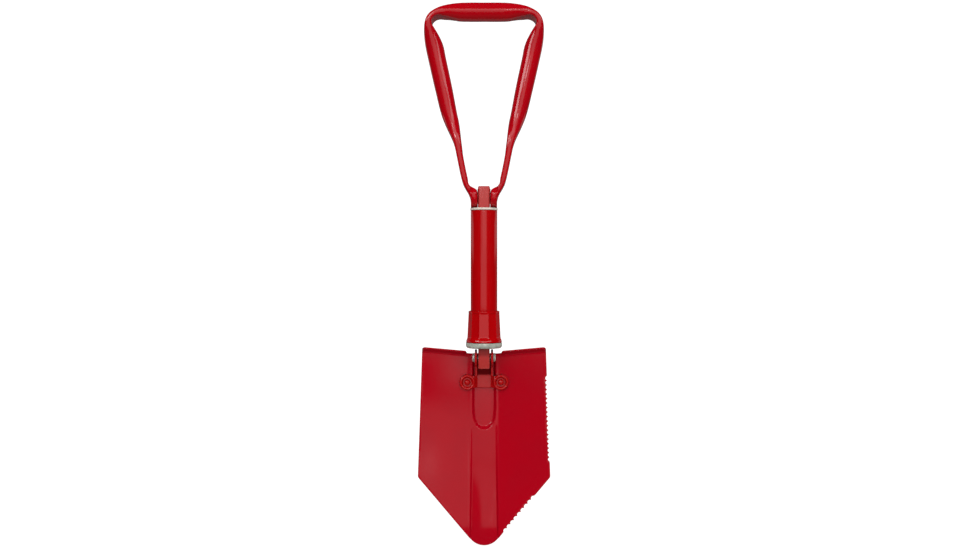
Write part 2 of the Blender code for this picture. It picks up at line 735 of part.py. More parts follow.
def relief_chains():
    """Lines of the relief that the mesh edges must follow."""
    chains = [pocket_chain(share) for share in POCKET_SHARES]
    chains += [[Vector((x, height)) for x in CHANNEL_HEAD_X] for height in CHANNEL_HEAD_Z]
    for factor, heights in ((0.45, CHANNEL_Z), (CHANNEL_FLAT, CHANNEL_TOP_Z + CHANNEL_Z),
                            (0.935, CHANNEL_TOP_Z + CHANNEL_Z),
                            (1.0, CHANNEL_TOP_Z + CHANNEL_Z)):
        for sign in SIDES:
            chains.append([Vector((sign * channel_half(height) * factor, height))
                           for height in heights])
    for heights in (MIDDLE_POCKET_Z, CHANNEL_Z + MIDDLE_TIP_Z):
        chains.append([Vector((0.0, height)) for height in heights])
    return chains


def loose_points(outline):
    """Free mesh points: over the foot-steps' bends, then on the open field."""
    points = []

    def add(x, height, margin):
        point = Vector((x, height))
        if inside(outline, point, margin):
            points.append(point)

    for x in STEP_BEND_X:
        for rise in STEP_BEND_RISE:
            for sign in SIDES:
                add(sign * x, step_line(x) + rise, STEP_MARGIN)
    for row, height in enumerate(FIELD_Z):
        for x in FIELD_X:
            for sign in SIDES:
                add(sign * (x + FIELD_STAGGER * (row % 2)), height, FIELD_MARGIN)
    return points


def blank_mesh():
    """Triangulated flat blank: points (x, height) and faces."""
    outline = blade_outline()
    points = list(outline)
    edges = []
    for chain in relief_chains():
        previous = None
        for point in chain:
            if point.y < NOTCH_Z and not inside(outline, point, CHAIN_MARGIN):
                previous = None
                continue
            points.append(point)
            if previous is not None:
                edges.append((previous, len(points) - 1))
            previous = len(points) - 1
    points += loose_points(outline)
    result = delaunay_2d_cdt(points, edges, [list(range(len(outline)))],
                             CDT_INSIDE, CDT_TOLERANCE)
    return result[0], result[2]


def rivet_bore(sign):
    return shifted(cylinder(RIVET_BORE_R, 10, 30, 16, "Y"), dx=sign * LUG_X, dz=LUG_Z)


def build_blade(parent, material):
    """Sheet raised from the flat blank, with a hole for each rivet."""
    places, triangles = blank_mesh()
    front = []
    back = []
    for place in places:
        surface, through = sheet_point(place.x, place.y)
        front.append(surface)
        back.append(surface + through * SHEET)
    count = len(places)
    faces = []
    borders = {}              # directed edges of the front, in order
    for face in triangles:
        first, second, third = (places[i] for i in face[:3])
        if (second - first).cross(third - first) < 0.0:
            face = list(face)[::-1]
        faces.append(tuple(face))
        faces.append(tuple(i + count for i in reversed(face)))
        for i in range(len(face)):
            borders[(face[i], face[(i + 1) % len(face)])] = True
    for start, end in borders:
        if (end, start) not in borders:
            faces.append((end, start, start + count, end + count))
    blade = mesh_object("blade", ([tuple(vert) for vert in front + back], faces), material)
    for sign in SIDES:
        combine(blade, rivet_bore(sign), "DIFFERENCE")
    finish(blade, parent, 30.0)


# ---- blade bracket and its rivets ------------------------------------------------------------
EAR_IN = 7.5
CAM_R = 9.5
CAM_FLAT = 8.8                # distance of the cam's flats from the pin
CAM_STEPS = 4                 # per round part between two flats
# (y, z) of the ear above and below the cam, base to cam and cam to base
EAR_TOP = [(22.0, 1.0), (19.0, 4.2), (13.0, 6.6)]
EAR_BOTTOM = [(15.6, -CAM_FLAT), (17.8, -9.8), (18.7, -11.9), (19.3, -21.5), (22.0, -21.5)]
LUG_R = 8.5
LUG_FRONT = 17.9
LUG_BACK = 19.4
LUG_RIM = 1.5                 # height of the lug's rim above LUG_FRONT
STRIP_FRONT = 21.3
STRIP_BACK = FLAT_Y + POCKET_DEPTH - GAP
STRIP_HALF = 7.7              # front face of the lower strip
STRIP_SLOPE = 2.9             # width of its sloping sides
STRIP_WING = 2.5              # width of the wings that meet the lugs
STRIP_Z = (-34.2, -21.3)
UPPER_STRIP_HALF = 8.3
UPPER_STRIP_Z = (-24.0, 1.0)
BRACKET_CUT_X = 12.0
SWING_R = RING_R + 0.5        # room for the collar and lock ring when the blade is folded


def ear_outline():
    """Cam-shaped ear in (y, z): three flats about the pin, a neck back to the base."""
    half_flat = math.degrees(math.acos(CAM_FLAT / CAM_R))
    round_part = 90.0 - 2.0 * half_flat
    angles = []
    for middle in (90.0, 180.0, 270.0):
        end = middle + half_flat
        angles += [middle - half_flat, end]
        if middle < 270.0:
            angles += [end + round_part * k / CAM_STEPS for k in range(1, CAM_STEPS)]
    cam = [(CAM_R * math.cos(math.radians(angle)), CAM_R * math.sin(math.radians(angle)))
           for angle in angles]
    return EAR_TOP + cam + EAR_BOTTOM


def strip_section():
    """(x, y) section of the lower strip, with a wing towards each lug."""
    foot = STRIP_HALF + STRIP_SLOPE
    wing = foot + STRIP_WING
    right = [(STRIP_HALF, STRIP_FRONT), (foot, LUG_FRONT), (wing, LUG_FRONT), (wing, LUG_BACK),
             (foot + 0.6, LUG_BACK), (STRIP_HALF + 0.7, STRIP_BACK)]
    return right + [(-x, y) for x, y in right[::-1]]


def build_bracket(parent, material):
    """Pressed clevis: base strip in the socket groove, two ears, two round lugs."""
    bracket = mesh_object("blade_bracket", prism(strip_section(), *STRIP_Z), material)
    upper_strip = box((-UPPER_STRIP_HALF, UPPER_STRIP_HALF), (STRIP_FRONT, STRIP_BACK),
                      UPPER_STRIP_Z)
    combine(bracket, upper_strip, "UNION")
    rim_front = LUG_FRONT - LUG_RIM
    lug = lathe([(0, LUG_BACK), (LUG_R, LUG_BACK), (LUG_R, LUG_FRONT + 0.2),
                 (LUG_R - 1.0, rim_front), (LUG_R - 2.2, rim_front),
                 (LUG_R - 3.4, MOAT_FRONT), (0, MOAT_FRONT)], 24, "Y")
    for sign in SIDES:
        low, high = sorted((sign * EAR_IN, sign * EAR_OUT))
        combine(bracket, prism(ear_outline(), low, high, "X"), "UNION")
        combine(bracket, shifted(lug, dx=sign * LUG_X, dz=LUG_Z), "UNION")
        combine(bracket, rivet_bore(sign), "DIFFERENCE")
    pin_bore = cylinder(PIN_BORE_R, -BRACKET_CUT_X, BRACKET_CUT_X, 24, "X")
    combine(bracket, pin_bore, "DIFFERENCE")
    # the lugs' rims are cut back where the folded blade passes the collar
    swing = combined_shape(cylinder(SWING_R, -60.0, 60.0, 48),
                           box((-30, 30), (14.0, 30), (-60, -15.0)), "INTERSECT")
    combine(bracket, swing, "DIFFERENCE")
    finish(bracket, parent)


def build_blade_rivets(parent, material):
    front = MOAT_FRONT - GAP
    back = FLAT_Y - dish(LUG_X) + SHEET + GAP + 0.1
    shank = RIVET_BORE_R - GAP
    profile = [(0, front - 2.2), (1.5, front - 2.0), (2.7, front - 1.3), (3.3, front - 0.3),
               (3.4, front), (shank, front), (shank, back), (3.3, back), (3.3, back + 0.5),
               (2.6, back + 1.1), (0, back + 1.3)]
    rivet = lathe(profile, 20, "Y")
    for name, sign in (("blade_rivet_left", -1), ("blade_rivet_right", 1)):
        mesh_object(name, shifted(rivet, dx=sign * LUG_X, dz=LUG_Z), material, parent)


# ---- handle ------------------------------------------------------------------------------------
HANDLE_WALL = 1.4
HANDLE_SEGMENTS = 12
PINCH_EASE = (194.0, 8.0)     # (start, length) downwards, where the bore closes to a slit
PINCH_HALF = 1.8
BUSH_R = 4.4                  # steel bush between the handle's foot and its pin
BUSH_BORE_R = BUSH_R + GAP
BUSH_X = 7.3
BUSH_LENGTH = 6.9
FOOT_R = 12.3                 # everything of the handle's feet stays inside this radius
TRIM_X = TOP_RING_R + 0.2
TRIM_REACH = 30
# Right half of the loop, from the middle of the grip down to the foot:
# outer edge x, z, inner edge x, z (z above the lower hinge), half depth in y.
HALF_LOOP = (
    (0.0, 379.0, 0.0, 359.0, 10.0), (18.0, 379.0, 18.0, 359.0, 10.0),
    (26.0, 378.6, 26.0, 359.4, 10.3), (32.0, 377.6, 31.8, 360.6, 10.8),
    (38.3, 376.1, 37.9, 361.8, 11.5), (43.3, 374.3, 42.3, 362.6, 12.1),
    (48.0, 372.2, 46.3, 363.6, 12.6), (52.3, 369.9, 49.6, 363.3, 12.8),
    (56.3, 367.3, 52.4, 362.0, 12.8), (59.6, 363.9, 54.3, 360.2, 12.8),
    (61.9, 359.8, 55.4, 357.9, 12.8), (63.2, 355.0, 54.9, 354.2, 12.7),
    (63.8, 349.6, 52.5, 350.6, 12.2), (63.8, 343.6, 49.3, 345.8, 11.5),
    (63.2, 336.8, 46.0, 339.8, 10.9), (61.9, 329.0, 43.2, 332.6, 10.4),
    (59.4, 317.6, 40.9, 321.4, 10.2), (52.0, 285.4, 34.0, 289.0, 10.6),
    (44.9, 257.5, 28.6, 260.5, 10.9), (42.0, 250.0, 26.9, 252.6, 11.3),
    (38.9, 243.0, 25.7, 245.0, 11.9), (35.8, 236.6, 24.9, 238.2, 12.6),
    (33.2, 230.8, 24.2, 231.8, 13.1), (31.2, 224.8, 23.4, 225.5, 13.4),
    (29.4, 216.5, 22.4, 217.0, 13.5), (26.2, 200.6, 19.4, 201.0, 13.5),
    (23.9, 190.4, 17.2, 190.9, 13.4), (22.1, 184.6, 16.5, 185.9, 13.0),
    (19.6, 179.8, 14.6, 183.0, 12.6), (16.9, 175.2, 11.0, 181.0, 12.3),
    (15.1, 171.0, 7.8, 179.2, 12.3), (14.2, 167.0, 6.8, 175.9, 12.3),
    (14.0, 163.4, 6.7, 168.0, 12.3), (14.0, 158.6, 6.7, 158.8, 12.3),
)


def tube_section(half_thick, half_wide):
    """Flattened-tube section: straight-sided if wider than thick, else an ellipse."""
    straight = half_wide - half_thick
    points = []
    for k in range(HANDLE_SEGMENTS):
        angle = 2.0 * math.pi * (k + 0.5) / HANDLE_SEGMENTS
        cosine, sine = math.cos(angle), math.sin(angle)
        if straight >= 0.0:
            wide = math.copysign(straight, sine) + half_thick * sine
        else:
            wide = half_wide * sine
        points.append((half_thick * cosine, wide))
    return points


def handle_ring(station, wall):
    """Section of the loop at a station, a wall thickness inside its surface."""
    outer_x, outer_z, inner_x, inner_z, depth = station
    outer, inner = Vector((outer_x, outer_z)), Vector((inner_x, inner_z))
    across = (outer - inner).normalized()
    middle = (outer + inner) * 0.5
    half_thick = (outer - inner).length * 0.5 - wall
    half_wide = depth - wall
    if wall > 0.0:
        # the bore of the tube is pinched to a slit in the pressed feet
        pinch = ease_down(middle.y, *PINCH_EASE)
        half_wide = half_wide * (1.0 - pinch) + PINCH_HALF * pinch
    return [(middle.x + across.x * thick, wide, middle.y + across.y * thick - PIVOT_SPAN)
            for thick, wide in tube_section(half_thick, half_wide)]


def handle_shape():
    """Bent tube with its bore, open at both feet."""
    stations = [(-outer_x, outer_z, -inner_x, inner_z, depth)
                for outer_x, outer_z, inner_x, inner_z, depth in HALF_LOOP[:0:-1]]
    stations += HALF_LOOP
    verts = []
    outside, bore = ([add_ring(verts, handle_ring(station, wall)) for station in stations]
                     for wall in (0.0, HANDLE_WALL))
    faces = bridge_all(outside)
    faces += [quad[::-1] for quad in bridge_all(bore)]
    faces += [quad[::-1] for quad in bridge(outside[0], bore[0])]
    faces += bridge(outside[-1], bore[-1])
    return verts, faces


def build_handle(parent, material):
    handle = mesh_object("handle_loop", handle_shape(), material)
    # the feet are trimmed round the pivot so that they turn on the top ring
    reach = (-TRIM_REACH, TRIM_REACH)
    trim = combined_shape(box((-TRIM_X, TRIM_X), reach, reach),
                          cylinder(FOOT_R, -40, 40, 64, "X"), "DIFFERENCE")
    combine(handle, trim, "DIFFERENCE")
    combine(handle, cylinder(BUSH_BORE_R, -26, 26, 24, "X"), "DIFFERENCE")
    disc_seat = cylinder(DISC_R + GAP, -DISC_X - GAP, DISC_X + GAP, 40, "X")
    combine(handle, disc_seat, "DIFFERENCE")
    finish(handle, parent, 40.0)


def build_handle_bushes(parent, material):
    bush = sleeve(PIN_BORE_R, BUSH_R, 0.0, BUSH_LENGTH, 20, "X")
    for name, x in (("handle_bush_left", -BUSH_X - BUSH_LENGTH), ("handle_bush_right", BUSH_X)):
        mesh_object(name, shifted(bush, dx=x), material, parent)


def main():
    clear_scene()
    red = make_material("red_enamel", color=(0.42, 0.0, 0.012), roughness=0.28, metallic=0.0)
    zinc = make_material("zinc_plate", color=(0.62, 0.60, 0.55), roughness=0.38, metallic=1.0)
    steel = make_material("bright_steel", color=(0.60, 0.59, 0.57), roughness=0.30, metallic=1.0)
    spring = make_material("spring_steel", color=(0.20, 0.20, 0.21), roughness=0.40, metallic=1.0)
    nylon = make_material("black_nylon", color=(0.03, 0.03, 0.03), roughness=0.55, metallic=0.0)

    lower = make_empty("lower_pivot", -ORIGIN_Y, -ORIGIN_Z)
    upper = make_empty("upper_pivot", -ORIGIN_Y, PIVOT_SPAN - ORIGIN_Z)

    build_tie_bar(lower, red)
    build_blade_pivot(lower, steel)
    build_handle_pin(upper, steel)
    build_shaft_tube(lower, red)
    build_top_ring(lower, zinc)
    build_lower_guide(lower, nylon)
    build_collar(lower, red)
    build_lock_ring(lower, zinc)
    build_collar_retainer(lower, spring)
    build_blade(lower, red)
    build_bracket(lower, red)
    build_blade_rivets(lower, red)
    build_handle(upper, red)
    build_handle_bushes(upper, steel)
    bpy.context.view_layer.update()


main()
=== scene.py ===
"""Looks of a folding steel shovel: red enamel, plated and bright steel, a white studio.

The shovel stands upright, blade down and handle loop up, and faces the camera at -Y.
Pieces are modelled in mm about the lower hinge: X to the right, Y to the back, Z up.
"""
import math

import bmesh
import bpy
import numpy as np
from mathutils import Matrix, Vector
from mathutils.geometry import delaunay_2d_cdt


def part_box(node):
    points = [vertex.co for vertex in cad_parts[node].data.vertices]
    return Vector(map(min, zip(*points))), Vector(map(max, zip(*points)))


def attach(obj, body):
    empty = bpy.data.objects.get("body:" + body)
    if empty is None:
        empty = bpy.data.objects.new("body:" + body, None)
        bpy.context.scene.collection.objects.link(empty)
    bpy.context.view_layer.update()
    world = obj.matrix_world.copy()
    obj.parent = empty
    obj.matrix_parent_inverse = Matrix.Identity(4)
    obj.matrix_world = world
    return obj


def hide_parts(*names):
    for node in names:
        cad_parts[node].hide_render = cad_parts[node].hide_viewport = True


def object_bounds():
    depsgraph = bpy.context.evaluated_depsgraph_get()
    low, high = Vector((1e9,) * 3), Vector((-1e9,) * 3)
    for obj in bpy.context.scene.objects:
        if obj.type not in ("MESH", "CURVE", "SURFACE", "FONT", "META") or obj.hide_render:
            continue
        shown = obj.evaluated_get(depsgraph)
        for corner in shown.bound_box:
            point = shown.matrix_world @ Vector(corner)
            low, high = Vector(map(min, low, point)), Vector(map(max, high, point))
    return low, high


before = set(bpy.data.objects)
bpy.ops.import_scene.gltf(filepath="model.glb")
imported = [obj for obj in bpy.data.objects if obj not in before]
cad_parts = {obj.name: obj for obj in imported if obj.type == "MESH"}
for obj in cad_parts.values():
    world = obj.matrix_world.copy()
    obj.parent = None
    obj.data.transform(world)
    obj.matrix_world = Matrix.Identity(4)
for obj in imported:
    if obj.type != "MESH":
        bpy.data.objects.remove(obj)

MM = 0.001
CAD_BOUNDS = [[float(c) for c in corner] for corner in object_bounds()]


# ---- places read from the CAD nodes, in mm ------------------------------------------------
def middle(node, axis):
    low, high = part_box(node)
    return 0.5 * (getattr(low, axis) + getattr(high, axis)) / MM


def half_size(node, axis):
    low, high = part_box(node)
    return 0.5 * (getattr(high, axis) - getattr(low, axis)) / MM


def ends_z(node):
    """Bottom and top of a node above the lower hinge."""
    low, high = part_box(node)
    return low.z / MM - LOW_Z, high.z / MM - LOW_Z


BAR_BOTTOM = -11.0
AXIS_Y = middle("tie_bar", "y")                       # plane of the hinges
LOW_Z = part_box("tie_bar")[0].z / MM - BAR_BOTTOM      # height of the lower hinge
PIVOT_SPAN = middle("handle_pivot_pin", "z") - LOW_Z  # lower hinge to handle pivot
GAP = 0.3                                             # clearance between pieces

# tie bar, its wider cheeks and the discs that sit in the handle's feet
DISC_X = half_size("tie_bar", "x")
DISC_R = 8.0
CHEEK_X = DISC_X - 0.5
CHEEK_Z = 160.6
BAR_HALF_X = CHEEK_X - 0.4
BAR_HALF_Y = half_size("tie_bar", "y")
BAR_TOP = ends_z("tie_bar")[1]

# tube, rings and collar
TUBE_R = half_size("shaft_tube", "x")
TUBE_BOTTOM, TUBE_TOP = ends_z("shaft_tube")
TUBE_WALL = 1.4
TOP_RING_R = half_size("top_ring", "x")
TOP_RING_TOP = ends_z("top_ring")[1]
RING_R = half_size("lock_ring", "x")
RING_BOTTOM = ends_z("lock_ring")[0]
RING_TOP = 16.3
HUB_R = 15.0
HUB_TOP = 19.5
COLLAR_BOTTOM, COLLAR_TOP = ends_z("locking_collar")
COLLAR_TOP_R = 16.5
COLLAR_LOW_R = 19.05
COLLAR_TAPER = 1.6
COLLAR_FLUTES = 11
FLUTE_DEPTH = 0.8
COLLAR_BORE_R = 14.8

# pins and washers
PIN_R = 3.2
PIN_BORE_R = 3.5
WASHER_THICK = 1.0

# blade sheet: a level is the height of a point before the foot step is bent
SHEET = 1.6
FLAT_Y = 20.5
DISH_START = 12.0             # the sides slope forward from here outwards
DISH_BLEND = 8.0
DISH_SLOPE = 0.07
POCKET_DEPTH = 3.1
POCKET_HALF = 13.1
POCKET_WALL = 2.5
POCKET_END = -52.0            # where the pocket's straight sides end
POCKET_ROUND = 29.0
POCKET_POWER = 2.6            # superellipse of the pocket's lower end
CHANNEL_DEPTH = 1.7
CHANNEL_FLAT = 0.87           # flat share of the channel's half width
CORNER = (71.9, -130.9)
SHOULDER_HALF = 67.4
TIP_Z = -206.1
TIP_R = 19.0
TIP_SLOPE = math.radians(50.0)
NOTCH_HALF = 19.0
NOTCH_Z = 3.0
STEP_RADIUS = 3.0
STEP_ANGLE = math.radians(50.0)
STEP_LENGTH = 7.7
OUTLINE_STEP = 2.5
SCALLOP_STEPS = 10
RIM_EASE = 0.28

# bracket on the blade: ears around the hinge, strip, round lugs
LUG_X = middle("blade_rivet_right", "x")
LUG_Z = middle("blade_rivet_right", "z") - LOW_Z
RIVET_BORE_R = 2.5
EAR_IN = 7.5
EAR_OUT = 9.7
CAM_R = 9.5
CAM_FLAT = 8.8
LUG_R = 8.5
LUG_FRONT = 17.9
LUG_BACK = 19.4
LUG_FLOOR = 18.2
LUG_RIM = 1.5
STRIP_HALF = 7.7
STRIP_WALL = 2.9              # sideways run of the slanted walls beside the strip
STRIP_FRONT = 21.3
STRIP_BACK = 23.3

# handle
HANDLE_WALL = 1.4
HANDLE_SIDES = 48
FOOT_R = 12.3
FOOT_BORE_R = 4.7


# ---- helpers ------------------------------------------------------------------------------
def smoothstep(value):
    value = min(1.0, max(0.0, value))
    return value * value * (3.0 - 2.0 * value)


def stepped(start, stop, step):
    """Values from start up to, and not including, stop."""
    values = []
    while start < stop:
        values.append(start)
        start += step
    return values


def to_world(v):
    return (v[0] * MM, (v[1] + AXIS_Y) * MM, (v[2] + LOW_Z) * MM)


def shade(mesh, angle):
    mesh.shade_smooth()
    mesh.set_sharp_from_angle(angle=math.radians(angle))


def raw_object(name, verts, faces, angle=35.0):
    """Object from vertices in mm about the lower hinge, its faces turned outwards."""
    mesh = bpy.data.meshes.new(name)
    mesh.from_pydata([to_world(v) for v in verts], [], faces)
    mesh.validate()
    bm = bmesh.new()
    bm.from_mesh(mesh)
    bmesh.ops.recalc_face_normals(bm, faces=bm.faces)
    bm.to_mesh(mesh)
    bm.free()
    obj = bpy.data.objects.new(name, mesh)
    bpy.context.scene.collection.objects.link(obj)
    shade(mesh, angle)
    return obj


def finish_piece(obj, body, material, node):
    obj.data.materials.clear()
    obj.data.materials.append(material)
    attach(obj, body)
    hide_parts(node)


def add_loop(verts, points):
    """Appends points to verts and returns their indices."""
    start = len(verts)
    verts += points
    return range(start, len(verts))


def bridge(first, second):
    """Quads between two closed loops of equal length."""
    count = len(first)
    return [(first[k], first[(k + 1) % count], second[(k + 1) % count], second[k])
            for k in range(count)]


def lathe(profile, segments, axis="Z"):
    """Turns (radius, height) points about an axis; a radius of 0 becomes a pole."""
    verts, faces, rings = [], [], []
    for radius, height in profile:
        if radius < 1e-6:
            rings.append(add_loop(verts, [(0.0, 0.0, height)]))
            continue
        angles = [2.0 * math.pi * k / segments for k in range(segments)]
        rings.append(add_loop(verts, [(radius * math.cos(angle), radius * math.sin(angle), height)
                                      for angle in angles]))
    closed = profile[0][0] > 1e-6 and profile[-1][0] > 1e-6
    count = len(rings)
    for i in range(count if closed else count - 1):
        a, b = rings[i], rings[(i + 1) % count]
        if len(a) == 1:
            faces += [(a[0], b[(k + 1) % segments], b[k]) for k in range(segments)]
        elif len(b) == 1:
            faces += [(a[k], a[(k + 1) % segments], b[0]) for k in range(segments)]
        else:
            faces += bridge(a, b)
    if axis == "X":
        verts = [(h, x, y) for x, y, h in verts]
    elif axis == "Y":
        verts = [(y, h, x) for x, y, h in verts]
    return verts, faces


def cylinder(radius, low, high, segments, axis="Z"):
    return lathe([(0, low), (radius, low), (radius, high), (0, high)], segments, axis)


def prism(outline, low, high, axis="Z"):
    """Outline pushed along Z, or along X with the outline in (y, z)."""
    n = len(outline)
    verts = [(*point, low) for point in outline] + [(*point, high) for point in outline]
    faces = [tuple(range(n))[::-1], tuple(range(n, 2 * n))]
    faces += bridge(range(n), range(n, 2 * n))
    if axis == "X":
        verts = [(h, y, z) for y, z, h in verts]
    return verts, faces


def box(x0, x1, y0, y1, z0, z1):
    return prism([(x0, y0), (x1, y0), (x1, y1), (x0, y1)], z0, z1)


def shifted(shape, dx=0.0, dz=0.0):
    verts, faces = shape
    return [(x + dx, y, z + dz) for x, y, z in verts], faces


def bake(obj):
    """Applies the modifiers of obj to its mesh."""
    bpy.context.view_layer.update()
    graph = bpy.context.evaluated_depsgraph_get()
    mesh = bpy.data.meshes.new_from_object(obj.evaluated_get(graph))
    old = obj.data
    obj.modifiers.clear()
    mesh.name = obj.name
    obj.data = mesh
    bpy.data.meshes.remove(old)


def combine(obj, shape, operation):
    """Boolean of obj with a shape or a helper object, which is used up."""
    helper = shape if isinstance(shape, bpy.types.Object) else raw_object("helper", *shape)
    mod = obj.modifiers.new("cut", "BOOLEAN")
    mod.operation = operation
    mod.solver = "EXACT"
    mod.object = helper
    bake(obj)
    bpy.data.objects.remove(helper, do_unlink=True)


def tidy(obj, angle=35.0):
    """Merges the slivers left by booleans and shades the mesh again."""
    bm = bmesh.new()
    bm.from_mesh(obj.data)
    bmesh.ops.remove_doubles(bm, verts=bm.verts, dist=0.000004)
    bmesh.ops.dissolve_degenerate(bm, edges=bm.edges, dist=0.000002)
    bmesh.ops.recalc_face_normals(bm, faces=bm.faces)
    bm.to_mesh(obj.data)
    bm.free()
    shade(obj.data, angle)


def curve(start, control, end, t):
    """Point on a quadratic curve."""
    return start * (1 - t) ** 2 + control * (2 * t * (1 - t)) + end * t ** 2


def round_corners(profile, radius, steps=4, closed=True):
    """Profile of straight lines with each corner eased by a small arc-like curve."""
    points = []
    n = len(profile)
    for i in range(n):
        if not closed and i in (0, n - 1):
            points.append(profile[i])
            continue
        corner = Vector(profile[i])
        before = Vector(profile[i - 1]) - corner
        after = Vector(profile[(i + 1) % n]) - corner
        reach = min(radius, 0.45 * before.length, 0.45 * after.length)
        if reach < 1e-4:
            points.append(tuple(corner))
            continue
        start = corner + before.normalized() * reach
        end = corner + after.normalized() * reach
        points += [tuple(curve(start, corner, end, k / steps)) for k in range(steps + 1)]
    return points


def arc(x, y, radius, start, end, steps):
    """Points about (x, y) between two angles in degrees."""
    angles = [math.radians(start + (end - start) * k / steps) for k in range(steps + 1)]
    return [(x + radius * math.cos(angle), y + radius * math.sin(angle)) for angle in angles]


def rounded_rect(half_x, half_y, radius, steps):
    points = []
    for side_x, side_y, start in ((1, 1, 0), (-1, 1, 90), (-1, -1, 180), (1, -1, 270)):
        points += arc(side_x * (half_x - radius), side_y * (half_y - radius), radius,
                      start, start + 90, steps)
    return points


# ---- node graphs --------------------------------------------------------------------------
class Graph:
    """Small helper that writes shader nodes as expressions."""

    def __init__(self, tree):
        self.tree = tree
        tree.nodes.clear()

    def node(self, kind, **props):
        node = self.tree.nodes.new(kind)
        for key, value in props.items():
            setattr(node, key, value)
        return node

    def put(self, socket, value):
        if isinstance(value, bpy.types.NodeSocket):
            self.tree.links.new(value, socket)
        else:
            socket.default_value = value

    def calc(self, operation, *values):
        node = self.node("ShaderNodeMath", operation=operation)
        for i, value in enumerate(values):
            self.put(node.inputs[i], value)
        return node.outputs[0]

    def add(self, a, b):
        return self.calc("ADD", a, b)

    def sub(self, a, b):
        return self.calc("SUBTRACT", a, b)

    def mul(self, a, b):
        return self.calc("MULTIPLY", a, b)

    def largest(self, a, b):
        return self.calc("MAXIMUM", a, b)

    def ramp(self, value, at, to=(0.0, 1.0), smooth=True):
        """Maps the range at to the range to, clamped."""
        kind = "SMOOTHSTEP" if smooth else "LINEAR"
        node = self.node("ShaderNodeMapRange", interpolation_type=kind)
        node.clamp = True
        self.put(node.inputs["Value"], value)
        node.inputs["From Min"].default_value = at[0]
        node.inputs["From Max"].default_value = at[1]
        node.inputs["To Min"].default_value = to[0]
        node.inputs["To Max"].default_value = to[1]
        return node.outputs["Result"]

    def window(self, value, across, soft):
        """1 inside the range across, 0 outside, with soft ends."""
        low, high = across
        return self.mul(self.ramp(value, at=(low - soft, low + soft)),
                        self.ramp(value, at=(high - soft, high + soft), to=(1.0, 0.0)))

    def mix(self, factor, a, b):
        """Mixes two colours, each a socket or an (r, g, b) tuple."""
        node = self.node("ShaderNodeMix", data_type="RGBA")
        self.put(node.inputs[0], factor)
        for i, colour in ((6, a), (7, b)):
            self.put(node.inputs[i], (*colour, 1.0) if isinstance(colour, tuple) else colour)
        return node.outputs[2]

    def noise(self, vector, scale, detail, rough, distortion=0.0):
        node = self.node("ShaderNodeTexNoise")
        self.put(node.inputs["Vector"], vector)
        node.inputs["Scale"].default_value = scale
        node.inputs["Detail"].default_value = detail
        node.inputs["Roughness"].default_value = rough
        node.inputs["Distortion"].default_value = distortion
        return node.outputs[0]

    def stretch(self, vector, scale, rotation=(0.0, 0.0, 0.0)):
        node = self.node("ShaderNodeMapping")
        node.inputs["Scale"].default_value = scale
        node.inputs["Rotation"].default_value = rotation
        self.put(node.inputs["Vector"], vector)
        return node.outputs[0]

    def split(self, vector):
        node = self.node("ShaderNodeSeparateXYZ")
        self.put(node.inputs[0], vector)
        return node.outputs

    def bump(self, height, distance, strength, normal=None):
        node = self.node("ShaderNodeBump")
        node.inputs["Strength"].default_value = strength
        node.inputs["Distance"].default_value = distance
        self.put(node.inputs["Height"], height)
        if normal is not None:
            self.put(node.inputs["Normal"], normal)
        return node.outputs[0]

    def edges(self):
        """1 on convex edges."""
        pointiness = self.node("ShaderNodeNewGeometry").outputs["Pointiness"]
        return self.ramp(pointiness, at=(0.53, 0.60))

    def crevices(self, reach, at, to):
        """Ambient occlusion within reach, ramped."""
        node = self.node("ShaderNodeAmbientOcclusion", samples=6)
        node.inputs["Distance"].default_value = reach
        return self.ramp(node.outputs["AO"], at=at, to=to)


# ---- materials ----------------------------------------------------------------------------
def new_material(name):
    """Material, its graph, its surface node and its object coordinates in metres."""
    material = bpy.data.materials.new(name)
    material.use_nodes = True
    g = Graph(material.node_tree)
    out = g.node("ShaderNodeOutputMaterial")
    surface = g.node("ShaderNodeBsdfPrincipled")
    g.tree.links.new(surface.outputs[0], out.inputs[0])
    return material, g, surface, g.node("ShaderNodeTexCoord").outputs["Object"]


def scratches(g, coord, amount):
    """Thin lines in two directions, gathered in patches."""
    lines = []
    for scale, tilt in (((1.0, 1.0, 0.035), 0.35), ((0.05, 1.0, 1.0), -0.6)):
        drawn = g.stretch(coord, scale=scale, rotation=(0.1, tilt, 0.2))
        lines.append(g.ramp(g.noise(drawn, scale=900.0, detail=2.0, rough=0.5), at=(0.70, 0.78)))
    patch = g.ramp(g.noise(coord, scale=34.0, detail=2.0, rough=0.5), at=(0.52, 0.66))
    return g.mul(g.mul(g.largest(*lines), patch), amount)


def painted_shadow_band(g, coord, low, high, soft, half_width, depth):
    """Painted shadow: a dark strip across the piece with uneven ends; sizes in mm about the lower
    hinge.
    """
    across, _, up = g.split(coord)
    side, side_soft = half_width * MM, 0.0004
    wander = g.mul(g.sub(g.noise(coord, scale=700.0, detail=3.0, rough=0.6), 0.5), 0.0012)
    shadow_mask = g.window(g.add(up, wander), (LOW_Z * MM + low * MM, LOW_Z * MM + high * MM),
                    soft=soft * MM)
    shadow_mask = g.mul(shadow_mask, g.ramp(g.calc("ABSOLUTE", across),
                              at=(side - side_soft, side + side_soft), to=(1.0, 0.0)))
    return g.mul(shadow_mask, depth)


